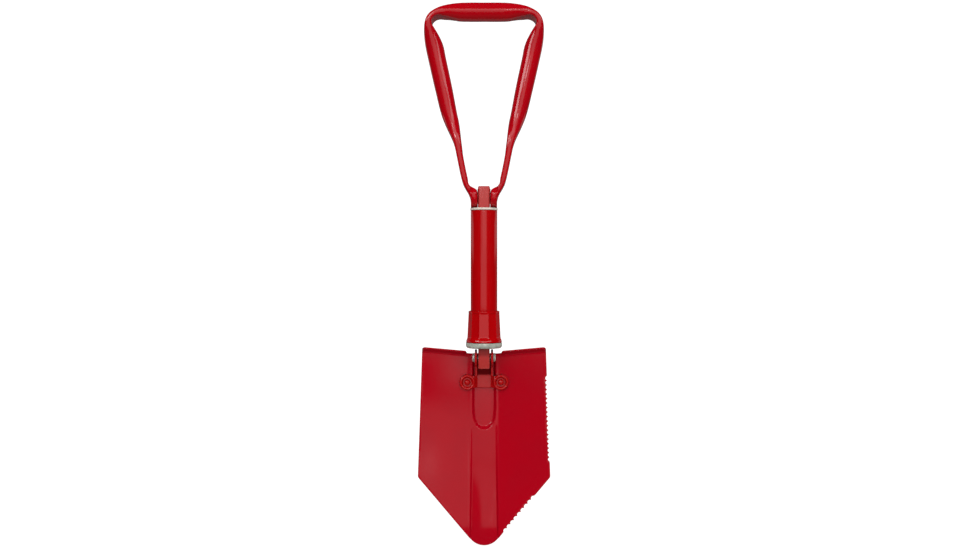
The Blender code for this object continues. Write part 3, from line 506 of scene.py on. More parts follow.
def enamel(name, base, deep, worn=(0.58, 0.11, 0.09), rough=0.06, wear=0.3, scuff=0.2,
           dirt_and_shade=0.35, reach=0.004, open_end=0.80, painted_shadow=None):
    """Enamel with slight orange peel, rubbed edges, scratches, and soiling with painted shade
    where pieces meet, plus an optional painted shadow strip.

    wear, scuff and dirt_and_shade: strength of rubbed edges, scratches and the corner darkening,
    which is soiling and painted shade.
    reach, open_end: how far the corner darkening spreads, and the openness at which it ends.
    """
    material, g, surface, coord = new_material(name)
    large = g.noise(coord, scale=26.0, detail=4.0, rough=0.55)
    fine = g.noise(coord, scale=420.0, detail=3.0, rough=0.6)
    tint = g.mul(g.ramp(large, at=(0.38, 0.66)), 0.45)
    color = g.mix(tint, base, deep)

    # rubbed edges, broken up by noise
    broken = g.ramp(g.noise(coord, scale=520.0, detail=5.0, rough=0.65), at=(0.50, 0.62))
    rub = g.mul(g.mul(g.edges(), broken), wear)
    color = g.mix(rub, color, worn)
    marks = scratches(g, coord, amount=scuff)
    color = g.mix(g.mul(marks, 0.2), color, worn)

    # corner darkening, partly soiling and partly painted shade: the colour takes all of it, the
    # roughness half
    grime_and_shade = g.crevices(reach, at=(0.15, open_end), to=(1.0, 0.0))
    color = g.mix(g.mul(grime_and_shade, dirt_and_shade), color, (base[0] * 0.16, 0.001, 0.002))
    grime_and_shade = g.mul(grime_and_shade, 0.5)
    # painted shadow: an optional dark strip mixed into the colour, with rougher paint under it
    if painted_shadow:
        shadow_mask = painted_shadow_band(g, coord, **painted_shadow)
        color = g.mix(shadow_mask, color, (base[0] * 0.12, 0.001, 0.002))
        grime_and_shade = g.largest(grime_and_shade, g.mul(shadow_mask, 0.4))
        # the painted shadow also dulls the reflection, down to a twentieth
        dulled = g.calc("MINIMUM", g.mul(shadow_mask, 1.1), 0.95)
        g.put(surface.inputs["Specular IOR Level"], g.mul(0.5, g.sub(1.0, dulled)))
    g.put(surface.inputs["Base Color"], color)

    # roughness: mottled base and fine grain, then what rubbing, scratches, soiling and the
    # painted shadow strip add
    roughness = g.add(g.ramp(large, at=(0.3, 0.7), to=(rough * 0.85, rough * 1.2)),
                      g.mul(g.ramp(fine, at=(0.4, 0.7)), 0.015))
    added = g.add(g.mul(rub, 0.35), g.add(g.mul(marks, 0.25), g.mul(grime_and_shade, 0.15)))
    g.put(surface.inputs["Roughness"], g.add(roughness, added))
    surface.inputs["IOR"].default_value = 1.5

    # relief: orange peel with fine grain, then the worn marks sunk into it
    peel = g.add(g.mul(g.noise(coord, scale=260.0, detail=2.0, rough=0.5), 1.0),
                 g.mul(fine, 0.22))
    skin = g.bump(peel, distance=0.000021, strength=0.5)
    sunk = g.mul(g.add(marks, rub), -1.0)
    g.put(surface.inputs["Normal"], g.bump(sunk, distance=0.00003, strength=0.6, normal=skin))
    return material


def plated(name, base, other, rough, metallic=1.0, mottle=120.0):
    """Plated or bare steel: mottled, finely brushed along X, duller in the corners, which also
    get painted shade.

    mottle: scale of the blotches between the colours base and other.
    """
    dark = (0.05, 0.05, 0.045)
    bright = (0.85, 0.83, 0.78)
    material, g, surface, coord = new_material(name)
    blot = g.noise(coord, scale=mottle, detail=5.0, rough=0.6, distortion=0.6)
    speck = g.noise(coord, scale=mottle * 9.0, detail=3.0, rough=0.7)
    color = g.mix(g.ramp(blot, at=(0.38, 0.64)), base, other)
    color = g.mix(g.mul(g.ramp(speck, at=(0.56, 0.70)), 0.35), color, dark)
    # painted shade: occluded corners darken towards dark grey and turn less metallic
    grime_and_shade = g.crevices(0.003, at=(0.25, 0.8), to=(0.7, 0.0))
    color = g.mix(grime_and_shade, color, dark)
    color = g.mix(g.mul(g.edges(), 0.4), color, bright)
    g.put(surface.inputs["Base Color"], color)
    g.put(surface.inputs["Metallic"], g.sub(metallic, g.mul(grime_and_shade, 0.4)))

    # roughness: blotches, brushing, then rougher corners under the painted shade
    brushed = g.noise(g.stretch(coord, scale=(0.04, 1.0, 1.0)), scale=3000.0, detail=3.0,
                      rough=0.6)
    roughness = g.add(g.ramp(blot, at=(0.3, 0.7), to=(rough * 0.8, rough * 1.3)),
                      g.mul(brushed, 0.12))
    g.put(surface.inputs["Roughness"], g.add(roughness, g.mul(grime_and_shade, 0.25)))
    lines = g.bump(brushed, distance=0.00002, strength=0.5)
    g.put(surface.inputs["Normal"], g.bump(blot, distance=0.00004, strength=0.35, normal=lines))
    return material


def moulded(name, base):
    """Grained plastic, mottled with a lighter shade."""
    lighter = tuple(c * 1.8 for c in base)
    material, g, surface, coord = new_material(name)
    grain = g.noise(coord, scale=900.0, detail=4.0, rough=0.6)
    large = g.noise(coord, scale=60.0, detail=3.0, rough=0.5)
    g.put(surface.inputs["Base Color"], g.mix(g.ramp(large, at=(0.35, 0.7)), base, lighter))
    g.put(surface.inputs["Roughness"], g.ramp(grain, at=(0.3, 0.7), to=(0.42, 0.62)))
    g.put(surface.inputs["Normal"], g.bump(grain, distance=0.00005, strength=0.5))
    return material


RED = enamel("red_enamel_gloss", base=(0.445, 0.0004, 0.0020), deep=(0.400, 0.0003, 0.0016))
RED_HANDLE = enamel("red_enamel_handle", base=(0.455, 0.0006, 0.0055),
                    deep=(0.405, 0.0004, 0.0060), scuff=0.25, dirt_and_shade=0.18)
# painted shade: strong darkening in the bracket's recesses and moats, and a painted shadow strip
# below the tie bar's end
RED_BRACKET = enamel("red_enamel_bracket", base=(0.430, 0.0030, 0.0040),
                     deep=(0.390, 0.0020, 0.0030), dirt_and_shade=0.85, reach=0.006, open_end=0.97,
                     painted_shadow=dict(low=-20.4, high=-8.0, soft=1.1, half_width=7.2, depth=0.86))
RED_BLADE = enamel("red_enamel_blade", base=(0.410, 0.0004, 0.0085),
                   deep=(0.370, 0.0003, 0.0085), worn=(0.55, 0.10, 0.09),
                   rough=0.07, scuff=0.35, wear=0.5)
# painted shadow: a dark strip on the bar where the lock ring and collar shade it
RED_BAR = enamel("red_enamel_thin", base=(0.46, 0.030, 0.026), deep=(0.42, 0.020, 0.020),
                 worn=(0.60, 0.32, 0.26), rough=0.20, wear=0.6, scuff=0.4,
                 painted_shadow=dict(low=2.6, high=20.0, soft=2.4, half_width=9.0, depth=0.48))
WARM_ZINC = plated("zinc_plate_warm", base=(0.95, 0.84, 0.74), other=(0.84, 0.74, 0.64),
                   rough=0.32, metallic=0.25)
GREEN_ZINC = plated("zinc_plate_green", base=(0.55, 0.57, 0.49), other=(0.40, 0.42, 0.36),
                    rough=0.36, metallic=0.25, mottle=200.0)
STEEL = plated("bright_steel_turned", base=(0.76, 0.72, 0.66), other=(0.62, 0.58, 0.50),
               rough=0.28, metallic=0.4, mottle=260.0)
SPRING_STEEL = plated("spring_steel_dark", base=(0.20, 0.20, 0.21), other=(0.13, 0.13, 0.14),
                      rough=0.35)
NYLON = moulded("black_nylon_grain", base=(0.03, 0.03, 0.03))


# ---- middle section -----------------------------------------------------------------------
def bar_shape():
    """The bar itself, with eased ends."""
    corner_r = 1.5
    first = 0.8                   # straight sides start this far up
    # (height, inset of the section)
    levels = [(BAR_BOTTOM, 0.9), (BAR_BOTTOM + 0.25, 0.35), (BAR_BOTTOM + first, 0.0)]
    levels += [(BAR_BOTTOM + first + (BAR_TOP - 2.2 - BAR_BOTTOM) * k / 12.0, 0.0)
               for k in range(1, 12)]
    levels += [(BAR_TOP - 1.0, 0.0), (BAR_TOP - 0.5, 0.08), (BAR_TOP - 0.2, 0.25),
               (BAR_TOP - 0.04, 0.5), (BAR_TOP, 0.75)]
    verts, faces, loops = [], [], []
    for z, inset in levels:
        section = rounded_rect(BAR_HALF_X - inset, BAR_HALF_Y - inset,
                               corner_r - inset * 0.5, 6)
        loops.append(add_loop(verts, [(x, y, z) for x, y in section]))
    for lower, upper in zip(loops[:-1], loops[1:]):
        faces += bridge(lower, upper)
    faces.append(tuple(loops[0])[::-1])
    faces.append(tuple(loops[-1]))
    return verts, faces


def build_tie_bar():
    bar = raw_object("tie_bar_enamel", *bar_shape())
    cheek_y = BAR_HALF_Y - 2.4
    cheek = round_corners([(-CHEEK_X, -cheek_y), (CHEEK_X, -cheek_y),
                           (CHEEK_X, cheek_y), (-CHEEK_X, cheek_y)], 0.5)
    combine(bar, prism(cheek, CHEEK_Z, BAR_TOP - 1.2), "UNION")
    disc = [(0, -DISC_X), (DISC_R - 0.2, -DISC_X), (DISC_R, -DISC_X + 0.15),
            (DISC_R, DISC_X - 0.15), (DISC_R - 0.2, DISC_X), (0, DISC_X)]
    combine(bar, shifted(lathe(disc, 120, "X"), dz=PIVOT_SPAN), "UNION")
    for z in (0.0, PIVOT_SPAN):
        combine(bar, shifted(cylinder(PIN_BORE_R, -9, 9, 48, "X"), dz=z), "DIFFERENCE")
    tidy(bar, 40.0)
    finish_piece(bar, "core", RED_BAR, "tie_bar")


def build_slotted(name, profile, body, material, node):
    """A turned zinc piece with a slot for the tie bar."""
    obj = raw_object(name, *lathe(profile, 144))
    slot = rounded_rect(BAR_HALF_X + GAP, BAR_HALF_Y + GAP, 0.8, 4)
    combine(obj, prism(slot, -50.0, 250.0), "DIFFERENCE")
    tidy(obj)
    finish_piece(obj, body, material, node)


def build_shaft_tube():
    inner = TUBE_R - TUBE_WALL
    profile = round_corners([(TUBE_R, TUBE_TOP), (TUBE_R, TUBE_BOTTOM + 1.0),
                             (TUBE_R - 0.6, TUBE_BOTTOM), (inner, TUBE_BOTTOM),
                             (inner, TUBE_TOP)], 0.3, 3)
    obj = raw_object("shaft_tube_enamel", *lathe(profile, 144))
    finish_piece(obj, "tube", RED, "shaft_tube")


def build_top_ring():
    """Ring on top of the tube, with a spigot inside it."""
    spigot_r = TUBE_R - TUBE_WALL - GAP
    spigot_bottom = TUBE_TOP - 7.0
    flange_bottom = TUBE_TOP + GAP
    profile = [(0, spigot_bottom), (spigot_r - 0.5, spigot_bottom), (spigot_r, TUBE_TOP - 6.5)]
    profile += round_corners([(spigot_r, flange_bottom), (TOP_RING_R, flange_bottom),
                              (TOP_RING_R, TOP_RING_TOP), (spigot_r - 2.0, TOP_RING_TOP)],
                             0.55, 5, closed=False)
    profile.append((0, TOP_RING_TOP))
    build_slotted("top_ring_zinc", profile, "tube", WARM_ZINC, "top_ring")


def collar_radius(z, angle):
    """Tapered body, flared at the foot, with hollow flutes between ridges."""
    flare = COLLAR_LOW_R - COLLAR_TOP_R - COLLAR_TAPER
    radius = COLLAR_TOP_R + COLLAR_TAPER * (COLLAR_TOP - z) / (COLLAR_TOP - COLLAR_BOTTOM)
    radius += flare * (1.0 - smoothstep((z - COLLAR_BOTTOM - 0.6) / 5.6))
    # the flutes fade out towards both ends
    depth = FLUTE_DEPTH * smoothstep((z - COLLAR_BOTTOM - 2.6) / 3.4)
    depth *= 1.0 - smoothstep((z - COLLAR_TOP + 3.4) / 2.2)
    turn = (angle + 0.5 * math.pi) * COLLAR_FLUTES / (2.0 * math.pi)
    off_centre = 2.0 * (turn - round(turn))
    return radius - depth * (1.0 - abs(off_centre) ** 2.4)


def build_collar():
    segments = 24 * COLLAR_FLUTES
    angles = [2.0 * math.pi * k / segments - 0.5 * math.pi for k in range(segments)]
    # outside: (height, inset), closely spaced between eased ends
    outside = [(COLLAR_BOTTOM, 0.6), (COLLAR_BOTTOM + 0.08, 0.3), (COLLAR_BOTTOM + 0.3, 0.08),
               (COLLAR_BOTTOM + 0.6, 0.0)]
    outside += [(z, 0.0) for z in stepped(COLLAR_BOTTOM + 1.0, COLLAR_TOP - 1.0, 0.5)]
    outside += [(COLLAR_TOP - 0.8, 0.0), (COLLAR_TOP - 0.4, 0.08), (COLLAR_TOP - 0.12, 0.35),
                (COLLAR_TOP, 0.7)]
    # bore from the top down: (radius, height), with an annular groove above the hub
    groove_r, groove_low, groove_high = 16.7, 17.6, 20.2
    hub_bore_r = HUB_R + 0.4
    bore = [(COLLAR_BORE_R + 1.1, COLLAR_TOP), (COLLAR_BORE_R + 0.7, COLLAR_TOP - 0.15),
            (COLLAR_BORE_R + 0.2, COLLAR_TOP - 0.6), (COLLAR_BORE_R, COLLAR_TOP - 1.2),
            (COLLAR_BORE_R, groove_high), (groove_r, groove_high), (groove_r, groove_low),
            (hub_bore_r, groove_low), (hub_bore_r, COLLAR_BOTTOM)]
    loops = [(z, [collar_radius(z, angle) - inset for angle in angles]) for z, inset in outside]
    loops += [(z, [radius] * segments) for radius, z in bore]
    verts, faces, rings = [], [], []
    for z, radii in loops:
        rings.append(add_loop(verts, [(radius * math.cos(angle), radius * math.sin(angle), z)
                                      for radius, angle in zip(radii, angles)]))
    for ring, following in zip(rings, rings[1:] + rings[:1]):
        faces += bridge(ring, following)
    obj = raw_object("locking_collar_enamel", verts, faces, 40.0)
    finish_piece(obj, "collar", RED, "locking_collar")


def build_lock_ring():
    """Wide rim below, and a hub with a groove around it above."""
    groove_low, groove_high, groove_depth = 17.9, 19.1, 1.0
    rim = [(HUB_R - 3.0, RING_BOTTOM), (RING_R - 1.9, RING_BOTTOM),
           (RING_R - 0.7, RING_BOTTOM + 0.8), (RING_R, RING_BOTTOM + 2.2),
           (RING_R, RING_TOP), (HUB_R, RING_TOP)]
    profile = [(0, RING_BOTTOM)] + round_corners(rim, 0.45, closed=False)
    profile += [(HUB_R, groove_low), (HUB_R - groove_depth, groove_low),
                (HUB_R - groove_depth, groove_high), (HUB_R, groove_high),
                (HUB_R, HUB_TOP), (0, HUB_TOP)]
    build_slotted("lock_ring_zinc", profile, "lock", GREEN_ZINC, "lock_ring")


# ---- pins and washers ---------------------------------------------------------------------
def build_blade_pin():
    """Pin through the lower hinge with a domed head at each end."""
    end, head_r = 12.7, 4.3
    head_in = EAR_OUT + GAP + WASHER_THICK + GAP
    land = 0.25                   # straight rim of the head
    half = [(0, -end)]
    for k in range(1, 9):
        angle = math.radians(90.0 * k / 8)
        half.append((head_r * math.sin(angle),
                     -head_in - land - (end - head_in - land) * math.cos(angle)))
    half += [(head_r, -head_in), (PIN_R, -head_in)]
    profile = half + [(radius, -x) for radius, x in reversed(half)]
    pin = raw_object("blade_pivot_pin_steel", *lathe(profile, 64, "X"))
    finish_piece(pin, "core", STEEL, "blade_pivot_pin")


def build_washers():
    outer_r = 4.8
    profile = round_corners([(PIN_BORE_R, 0.0), (outer_r, 0.0), (outer_r, WASHER_THICK),
                             (PIN_BORE_R, WASHER_THICK)], 0.2, 3)
    for side, x in (("left", -EAR_OUT - GAP - WASHER_THICK), ("right", EAR_OUT + GAP)):
        obj = raw_object("pivot_washer_%s_steel" % side,
                         *shifted(lathe(profile, 64, "X"), dx=x))
        finish_piece(obj, "core", STEEL, "pivot_washer_" + side)


def build_handle_pin():
    end = 14.7
    profile = round_corners([(0, -end), (PIN_R, -end), (PIN_R, end), (0, end)], 0.7,
                            closed=False)
    obj = raw_object("handle_pivot_pin_steel",
                     *shifted(lathe(profile, 64, "X"), dz=PIVOT_SPAN))
    finish_piece(obj, "core", STEEL, "handle_pivot_pin")


# ---- shape of the blade sheet ---------------------------------------------------------------
def dish(x):
    """How far the sheet's side has come forward at x."""
    out = abs(x) - DISH_START
    if out <= 0.0:
        return 0.0
    if out < DISH_BLEND:
        share = out / DISH_BLEND
        return DISH_SLOPE * DISH_BLEND * (share ** 3 - 0.5 * share ** 4)
    return DISH_SLOPE * (out - 0.5 * DISH_BLEND)


def pocket_inside(x, level):
    """Distance inside the pocket's edge: straight sides and a superelliptic lower end."""
    if level >= POCKET_END:
        return POCKET_HALF - abs(x)
    power = POCKET_POWER
    across, down = abs(x) / POCKET_HALF, (POCKET_END - level) / POCKET_ROUND
    radius = (across ** power + down ** power) ** (1.0 / power)
    if radius < 0.3:
        return 8.0                # well inside; the slope below fails at the centre
    slope = math.hypot(across ** (power - 1.0) / POCKET_HALF,
                       down ** (power - 1.0) / POCKET_ROUND)
    return (1.0 - radius) * radius ** (power - 1.0) / slope


def channel_half(level):
    """Half width of the shallow channel, a little wider towards the tip."""
    return 14.4 + 1.8 * min(1.0, max(0.0, (-84.0 - level) / 122.0))


def groove_depth(x, level):
    """Depth of the pocket, or of the channel that carries on below it."""
    wall = POCKET_WALL + 3.0 * smoothstep((-66.0 - level) / 14.0)
    pocket = smoothstep(pocket_inside(x, level) / wall)
    across = abs(x) / channel_half(level)
    floor = 1.0 - smoothstep((across - CHANNEL_FLAT) / (1.0 - CHANNEL_FLAT))
    bulge = max(0.0, 1.0 - (across / CHANNEL_FLAT) ** 2)
    crown = 0.28 * smoothstep((-104.0 - level) / 86.0) * bulge
    fade_in = (0.14 * smoothstep((-73.0 - level) / 9.0)
               + 0.86 * smoothstep((-78.0 - level) / 80.0))
    channel = floor * (1.0 - crown) * fade_in
    return max(POCKET_DEPTH * pocket, CHANNEL_DEPTH * channel)


def step_line(x):
    """Level at which the foot step starts to bend."""
    return -0.5 + 4.5 * max(0.0, abs(x) - NOTCH_HALF) / 48.0


def sheet_point(x, level):
    """Point on the sheet's front and the direction towards its back."""
    y = FLAT_Y - dish(x) + groove_depth(x, level)
    # the lower blade leans forward, and the tip curls back
    y -= 2.0 * smoothstep((-120.0 - level) / 100.0)
    y += 1.2 * (max(0.0, -176.0 - level) / 30.0) ** 2
    bend = step_line(x)
    full = STEP_ANGLE * smoothstep((abs(x) - 14.0) / 5.5)
    past = level - bend
    if past <= 0.0 or full < 1e-6:
        return (x, y, level), (0.0, 1.0, 0.0)
    angle = min(full, past / STEP_RADIUS)
    z = bend + STEP_RADIUS * math.sin(angle)
    y -= STEP_RADIUS * (1.0 - math.cos(angle))
    rest = past - STEP_RADIUS * angle
    if rest > 0.0:
        z += rest * math.cos(full)
        y -= rest * math.sin(full)
    return (x, y, z), (0.0, math.cos(angle), math.sin(angle))


# ---- outline of the blade, in (x, level) ----------------------------------------------------
def mirrored(points):
    return [Vector((-p.x, p.y)) for p in points]


def between(a, b, step=OUTLINE_STEP):
    """Evenly spaced points strictly between a and b."""
    n = max(1, int((b - a).length / step))
    return [a.lerp(b, k / n) for k in range(1, n)]


def inward_of(direction):
    """Towards the middle of the blade, for an edge on the right run downwards."""
    return Vector((direction.y, -direction.x))


def scallops(start, end, count, land, depth):
    """Hollow arcs along an edge, parted by short lands."""
    along = (end - start).normalized()
    inward = inward_of(along)
    pitch = (end - start).length / count
    half = (pitch - land) / 2.0
    radius = (half * half + depth * depth) / (2.0 * depth)
    reach = math.asin(half / radius)
    points = []
    for k in range(count):
        centre = start + along * (pitch * (k + 0.5)) - inward * (radius - depth)
        for j in range(SCALLOP_STEPS + 1):
            angle = -reach + 2.0 * reach * j / SCALLOP_STEPS
            points.append(centre + along * (radius * math.sin(angle))
                          + inward * (radius * math.cos(angle)))
    return points


def step_outline():
    """Right half of the top edge, from the notch out along the foot step."""
    def step_top(x):
        return step_line(x) + STEP_LENGTH

    notch_r, inner_r, outer_r = 1.5, 2.1, 3.6
    inner_x = NOTCH_HALF + 2.3
    outer_x = 63.5
    points = arc(NOTCH_HALF - notch_r, NOTCH_Z + notch_r, notch_r, -90.0, 0.0, 6)
    points += arc(inner_x, step_top(inner_x) - inner_r, inner_r, 180.0, 90.0, 6)
    points += [(x, step_top(x)) for x in stepped(NOTCH_HALF + 5.0, outer_x - 1.0, 2.5)]
    points += arc(outer_x, step_top(outer_x) - outer_r, outer_r, 85.0, 0.0, 8)
    return [Vector(p) for p in points]


def blade_outline():
    """Counter-clockwise outline; the right side and right lower edge are scalloped."""
    side, corner = Vector((SHOULDER_HALF, 3.0)), Vector(CORNER)
    tip_centre = Vector((0.0, TIP_Z + TIP_R))
    tangent = tip_centre + Vector((math.sin(TIP_SLOPE), -math.cos(TIP_SLOPE))) * TIP_R

    def on_side(level):
        return side.lerp(corner, (level - side.y) / (corner.y - side.y))

    def on_edge(x):
        return corner.lerp(tangent, (x - corner.x) / (tangent.x - corner.x))

    corner_start, corner_end = on_side(corner.y + 1.6), on_edge(corner.x - 1.3)
    corner_curve = [curve(corner_start, corner, corner_end, t)
                    for t in (0.0, 0.25, 0.5, 0.75, 1.0)]

    top = step_outline()
    # right side: plain, scalloped, plain
    side_top, side_low = on_side(-19.8), on_side(-115.4)
    side_inset = Vector((-0.35, 0.0))
    right = top + [side] + between(side, side_top) + [side_top]
    right += scallops(on_side(-21.2) + side_inset, on_side(-114.2) + side_inset,
                      count=19, land=0.55, depth=1.45)
    right += [side_low] + between(side_low, corner_start) + corner_curve
    # right lower edge: plain, scalloped, plain
    start, end, edge_low = on_edge(54.8), on_edge(21.2), on_edge(19.5)
    edge_inset = inward_of((tangent - corner).normalized()) * 0.25
    right += between(corner_end, start)
    right += scallops(start + edge_inset, end + edge_inset, count=9, land=0.6, depth=1.6)
    right += [edge_low] + between(edge_low, tangent, 2.0)

    tip = [tip_centre + Vector((math.sin(angle), -math.cos(angle))) * TIP_R
           for angle in (TIP_SLOPE * k / 16.0 for k in range(16, -17, -1))]
    left = top + [side] + between(side, corner_start) + corner_curve
    left = mirrored(left + between(corner_end, tangent))
    notch_end = NOTCH_HALF - 2.5
    notch = [Vector((x, NOTCH_Z)) for x in stepped(-notch_end, notch_end + 0.1, 0.75)]
    clean = []
    for p in (right + tip + left[::-1] + notch)[::-1]:
        if not clean or (p - clean[-1]).length > 0.02:
            clean.append(p)
    return clean


def inset_loop(loop, distance):
    """Counter-clockwise loop moved inwards along the averaged normals."""
    moved = []
    n = len(loop)
    for i in range(n):
        a = (loop[i] - loop[i - 1]).normalized()
        b = (loop[(i + 1) % n] - loop[i]).normalized()
        normal = Vector((-(a.y + b.y), a.x + b.x)).normalized()
        moved.append(loop[i] + normal * distance)
    return moved


# ---- mesh of the blade ----------------------------------------------------------------------
def inside_mask(outline, points, margin):
    """Mask of the points inside the outline and further than margin from it."""
    starts = np.array([(p[0], p[1]) for p in outline])
    a, b = starts[None], np.roll(starts, -1, axis=0)[None]
    keep = np.zeros(len(points), bool)
    batch = 2000
    for first in range(0, len(points), batch):
        p = points[first:first + batch][:, None, :]
        crosses = (a[..., 1] > p[..., 1]) != (b[..., 1] > p[..., 1])
        # level edges divide by zero and are masked out by crosses
        with np.errstate(divide="ignore", invalid="ignore"):
            at = ((b[..., 0] - a[..., 0]) * (p[..., 1] - a[..., 1])
                  / (b[..., 1] - a[..., 1]) + a[..., 0])
        inside = (crosses & (p[..., 0] < at)).sum(1) % 2 == 1
        edge = b - a
        t = ((p - a) * edge).sum(-1) / np.maximum(1e-9, (edge ** 2).sum(-1))
        t = np.clip(t, 0.0, 1.0)[..., None]
        distance = np.sqrt((((a + edge * t) - p) ** 2).sum(-1)).min(1)
        keep[first:first + batch] = inside & (distance > margin)
    return keep


def blade_levels():
    """Rows of mesh points from the top down, closer at the pocket's end and the step."""
    levels = []
    level = NOTCH_Z + 12.0
    while level > TIP_Z + 0.5:
        levels.append(level)
        level -= 0.6 if -86.0 < level < -54.0 else 1.6
        if -6.0 < level < 12.0:
            level += 0.9
    return levels


# columns of mesh points: mm from the pocket's straight side, and shares of the channel's half
POCKET_COLUMNS = (-6.5, -4.4, -2.9, -2.4, -2.0, -1.6, -1.2, -0.8, -0.4, 0.0, 0.6, 1.6)
CHANNEL_COLUMNS = (0.2, 0.4, 0.6, 0.75, 0.82, 0.86, 0.885, 0.91, 0.935, 0.96, 0.98, 1.0,
                   1.02, 1.06, 1.12)
# levels of mesh points above the start of the step's bend
BEND_ROWS = (-1.5, -0.6, 0.0, 0.45, 0.9, 1.35, 1.8, 2.25, 2.7, 3.4)


def row_columns(level):
    """Distances from the middle of the mesh points in one row."""
    if level > POCKET_END:
        near = [POCKET_HALF + offset for offset in POCKET_COLUMNS]
        far = near[-1]
    elif level > -86.0:
        near = stepped(0.7, 16.5, 0.55)
        far = near[-1] + 0.55
    else:
        near = [channel_half(level) * share for share in CHANNEL_COLUMNS]
        far = near[-1]
    columns = {0.0}
    columns.update(round(x, 4) for x in near + stepped(far + 1.8, 74.0, 2.0))
    if level > NOTCH_Z - 5.0:
        columns.update(round(x, 4) for x in stepped(13.0, 23.0, 0.7))
    return columns


def blade_points(outline):
    points = []
    for level in blade_levels():
        for x in row_columns(level):
            points.append((x, level))
            if x > 0.0:
                points.append((-x, level))
    for x in stepped(14.0, 68.0, 1.5):
        for above in BEND_ROWS:
            points.append((x, step_line(x) + above))
            points.append((-x, step_line(x) + above))
    points = np.array(points)
    # keep one point per grid cell
    cells = np.round(points / 0.25).astype(int)
    _, first = np.unique(cells, axis=0, return_index=True)
    points = points[np.sort(first)]
    return points[inside_mask(outline, points, margin=0.45)]


def triangulate(inner, holes):
    """Flat points, the index of each input point among them, and triangles."""
    extra = blade_points(inner)
    points, edges = list(inner), []
    for hole in holes:
        centre = sum(hole, Vector((0, 0))) / len(hole)
        away = np.hypot(extra[:, 0] - centre.x, extra[:, 1] - centre.y)
        extra = extra[away > RIVET_BORE_R + 0.4]
        edges += bridge_edges(add_loop(points, hole))
    points += [Vector((float(x), float(y))) for x, y in extra]
    coords, _, faces, origins, _, _ = delaunay_2d_cdt(
        points, edges, [list(range(len(inner)))], 1, 0.0005)
    index = {k: i for i, origin in enumerate(origins) for k in origin}
    triangles = []
    for face in faces:
        a, b, c = (coords[i] for i in face)
        centre = (a + b + c) / 3.0
        if any((centre - Vector((side * LUG_X, LUG_Z))).length < RIVET_BORE_R - 0.05
               for side in (-1, 1)):
            continue
        upright = (b - a).cross(c - a) > 0.0
        triangles.append(tuple(face) if upright else tuple(face)[::-1])
    return coords, index, triangles


def bridge_edges(loop):
    """Edges around a closed loop of indices."""
    return [(loop[k], loop[(k + 1) % len(loop)]) for k in range(len(loop))]


def build_blade():
    outline = blade_outline()
    inner = inset_loop(outline, RIM_EASE)
    turns = [2.0 * math.pi * k / 32 for k in range(32)]
    holes = [[Vector((side * LUG_X + RIVET_BORE_R * math.cos(turn),
                      LUG_Z + RIVET_BORE_R * math.sin(turn))) for turn in turns]
             for side in (-1, 1)]
    coords, index, triangles = triangulate(inner, holes)

    def through(p, depth):
        front, normal = sheet_point(p.x, p.y)
        return tuple(front[k] + normal[k] * depth for k in range(3))

    n = len(coords)
    verts = [through(p, 0.0) for p in coords] + [through(p, SHEET) for p in coords]
    faces = triangles + [tuple(i + n for i in reversed(t)) for t in triangles]
    # rounded rim: four more rings between the front and the back, (inset, depth)
    ease = RIM_EASE
    front_ring = [index[i] for i in range(len(inner))]
    rings = [front_ring]
    for inset, depth in ((0.29 * ease, 0.29 * ease), (0.0, ease), (0.0, SHEET - ease),
                         (0.29 * ease, SHEET - 0.29 * ease)):
        rings.append(add_loop(verts, [through(p, depth) for p in inset_loop(outline, inset)]))
    rings.append([i + n for i in front_ring])
    for ring, deeper in zip(rings[:-1], rings[1:]):
        faces += bridge(deeper, ring)
    base = len(inner)
    for hole in holes:
        ring = [index[base + k] for k in range(len(hole))]
        faces += bridge(ring, [i + n for i in ring])
        base += len(hole)
    blade = raw_object("blade_enamel", verts, faces, 50.0)
    finish_piece(blade, "blade_assembly", RED_BLADE, "blade")


# ---- bracket and rivets ---------------------------------------------------------------------
def ear_outline():
    """Ear in (y, z): a round nose with three flats, and a foot that reaches the strip."""
    half_flat = math.sqrt(CAM_R ** 2 - CAM_FLAT ** 2)
    half_angle = math.degrees(math.asin(half_flat / CAM_R))
    angles = []
    for flat in (90.0, 180.0):
        start, end = flat + half_angle, flat + 90.0 - half_angle
        angles.append(flat - half_angle)
        angles += [start + (end - start) * k / 10 for k in range(10)]
    angles += [270.0 - half_angle, 270.0 + half_angle]
    nose = [(CAM_R * math.cos(math.radians(angle)), CAM_R * math.sin(math.radians(angle)))
            for angle in angles]
    return ([(22.0, 1.0), (19.0, 4.2), (13.0, 6.6)] + nose
            + [(15.6, -CAM_FLAT), (17.8, -9.8), (18.7, -11.9), (19.3, -21.5), (22.0, -21.5)])


def strip_section():
    """Section in (x, y) of the strip's lower part with its side flanges."""
    wall_x = STRIP_HALF + STRIP_WALL
    right = [(STRIP_HALF, STRIP_FRONT), (wall_x, LUG_FRONT), (wall_x + 2.5, LUG_FRONT),
             (wall_x + 2.5, LUG_BACK), (wall_x + 0.6, LUG_BACK), (STRIP_HALF + 0.7, STRIP_BACK)]
    left = [(-x, y) for x, y in reversed(right)]
    return left[-1:] + right + left[:-1]


def lug_profile():
    """Round lug as (radius, y): a raised rim around a recessed floor."""
    crest = LUG_FRONT - LUG_RIM
    return [(0, LUG_BACK), (LUG_R, LUG_BACK), (LUG_R, LUG_FRONT + 0.2),
            (LUG_R - 0.35, crest + 0.6), (LUG_R - 1.0, crest + 0.1), (LUG_R - 1.6, crest),
            (LUG_R - 2.2, crest + 0.1), (LUG_R - 2.9, crest + 0.7), (LUG_R - 3.4, LUG_FLOOR),
            (0, LUG_FLOOR)]


def soften(obj):
    """Remeshes finely and smooths, so that every edge is eased."""
    mod = obj.modifiers.new("skin", "REMESH")
    mod.mode = "VOXEL"
    mod.voxel_size = 0.00022
    mod.adaptivity = 0.0
    mod = obj.modifiers.new("ease", "SMOOTH")
    mod.factor = 0.5
    mod.iterations = 4
    bake(obj)
    obj.data.shade_smooth()


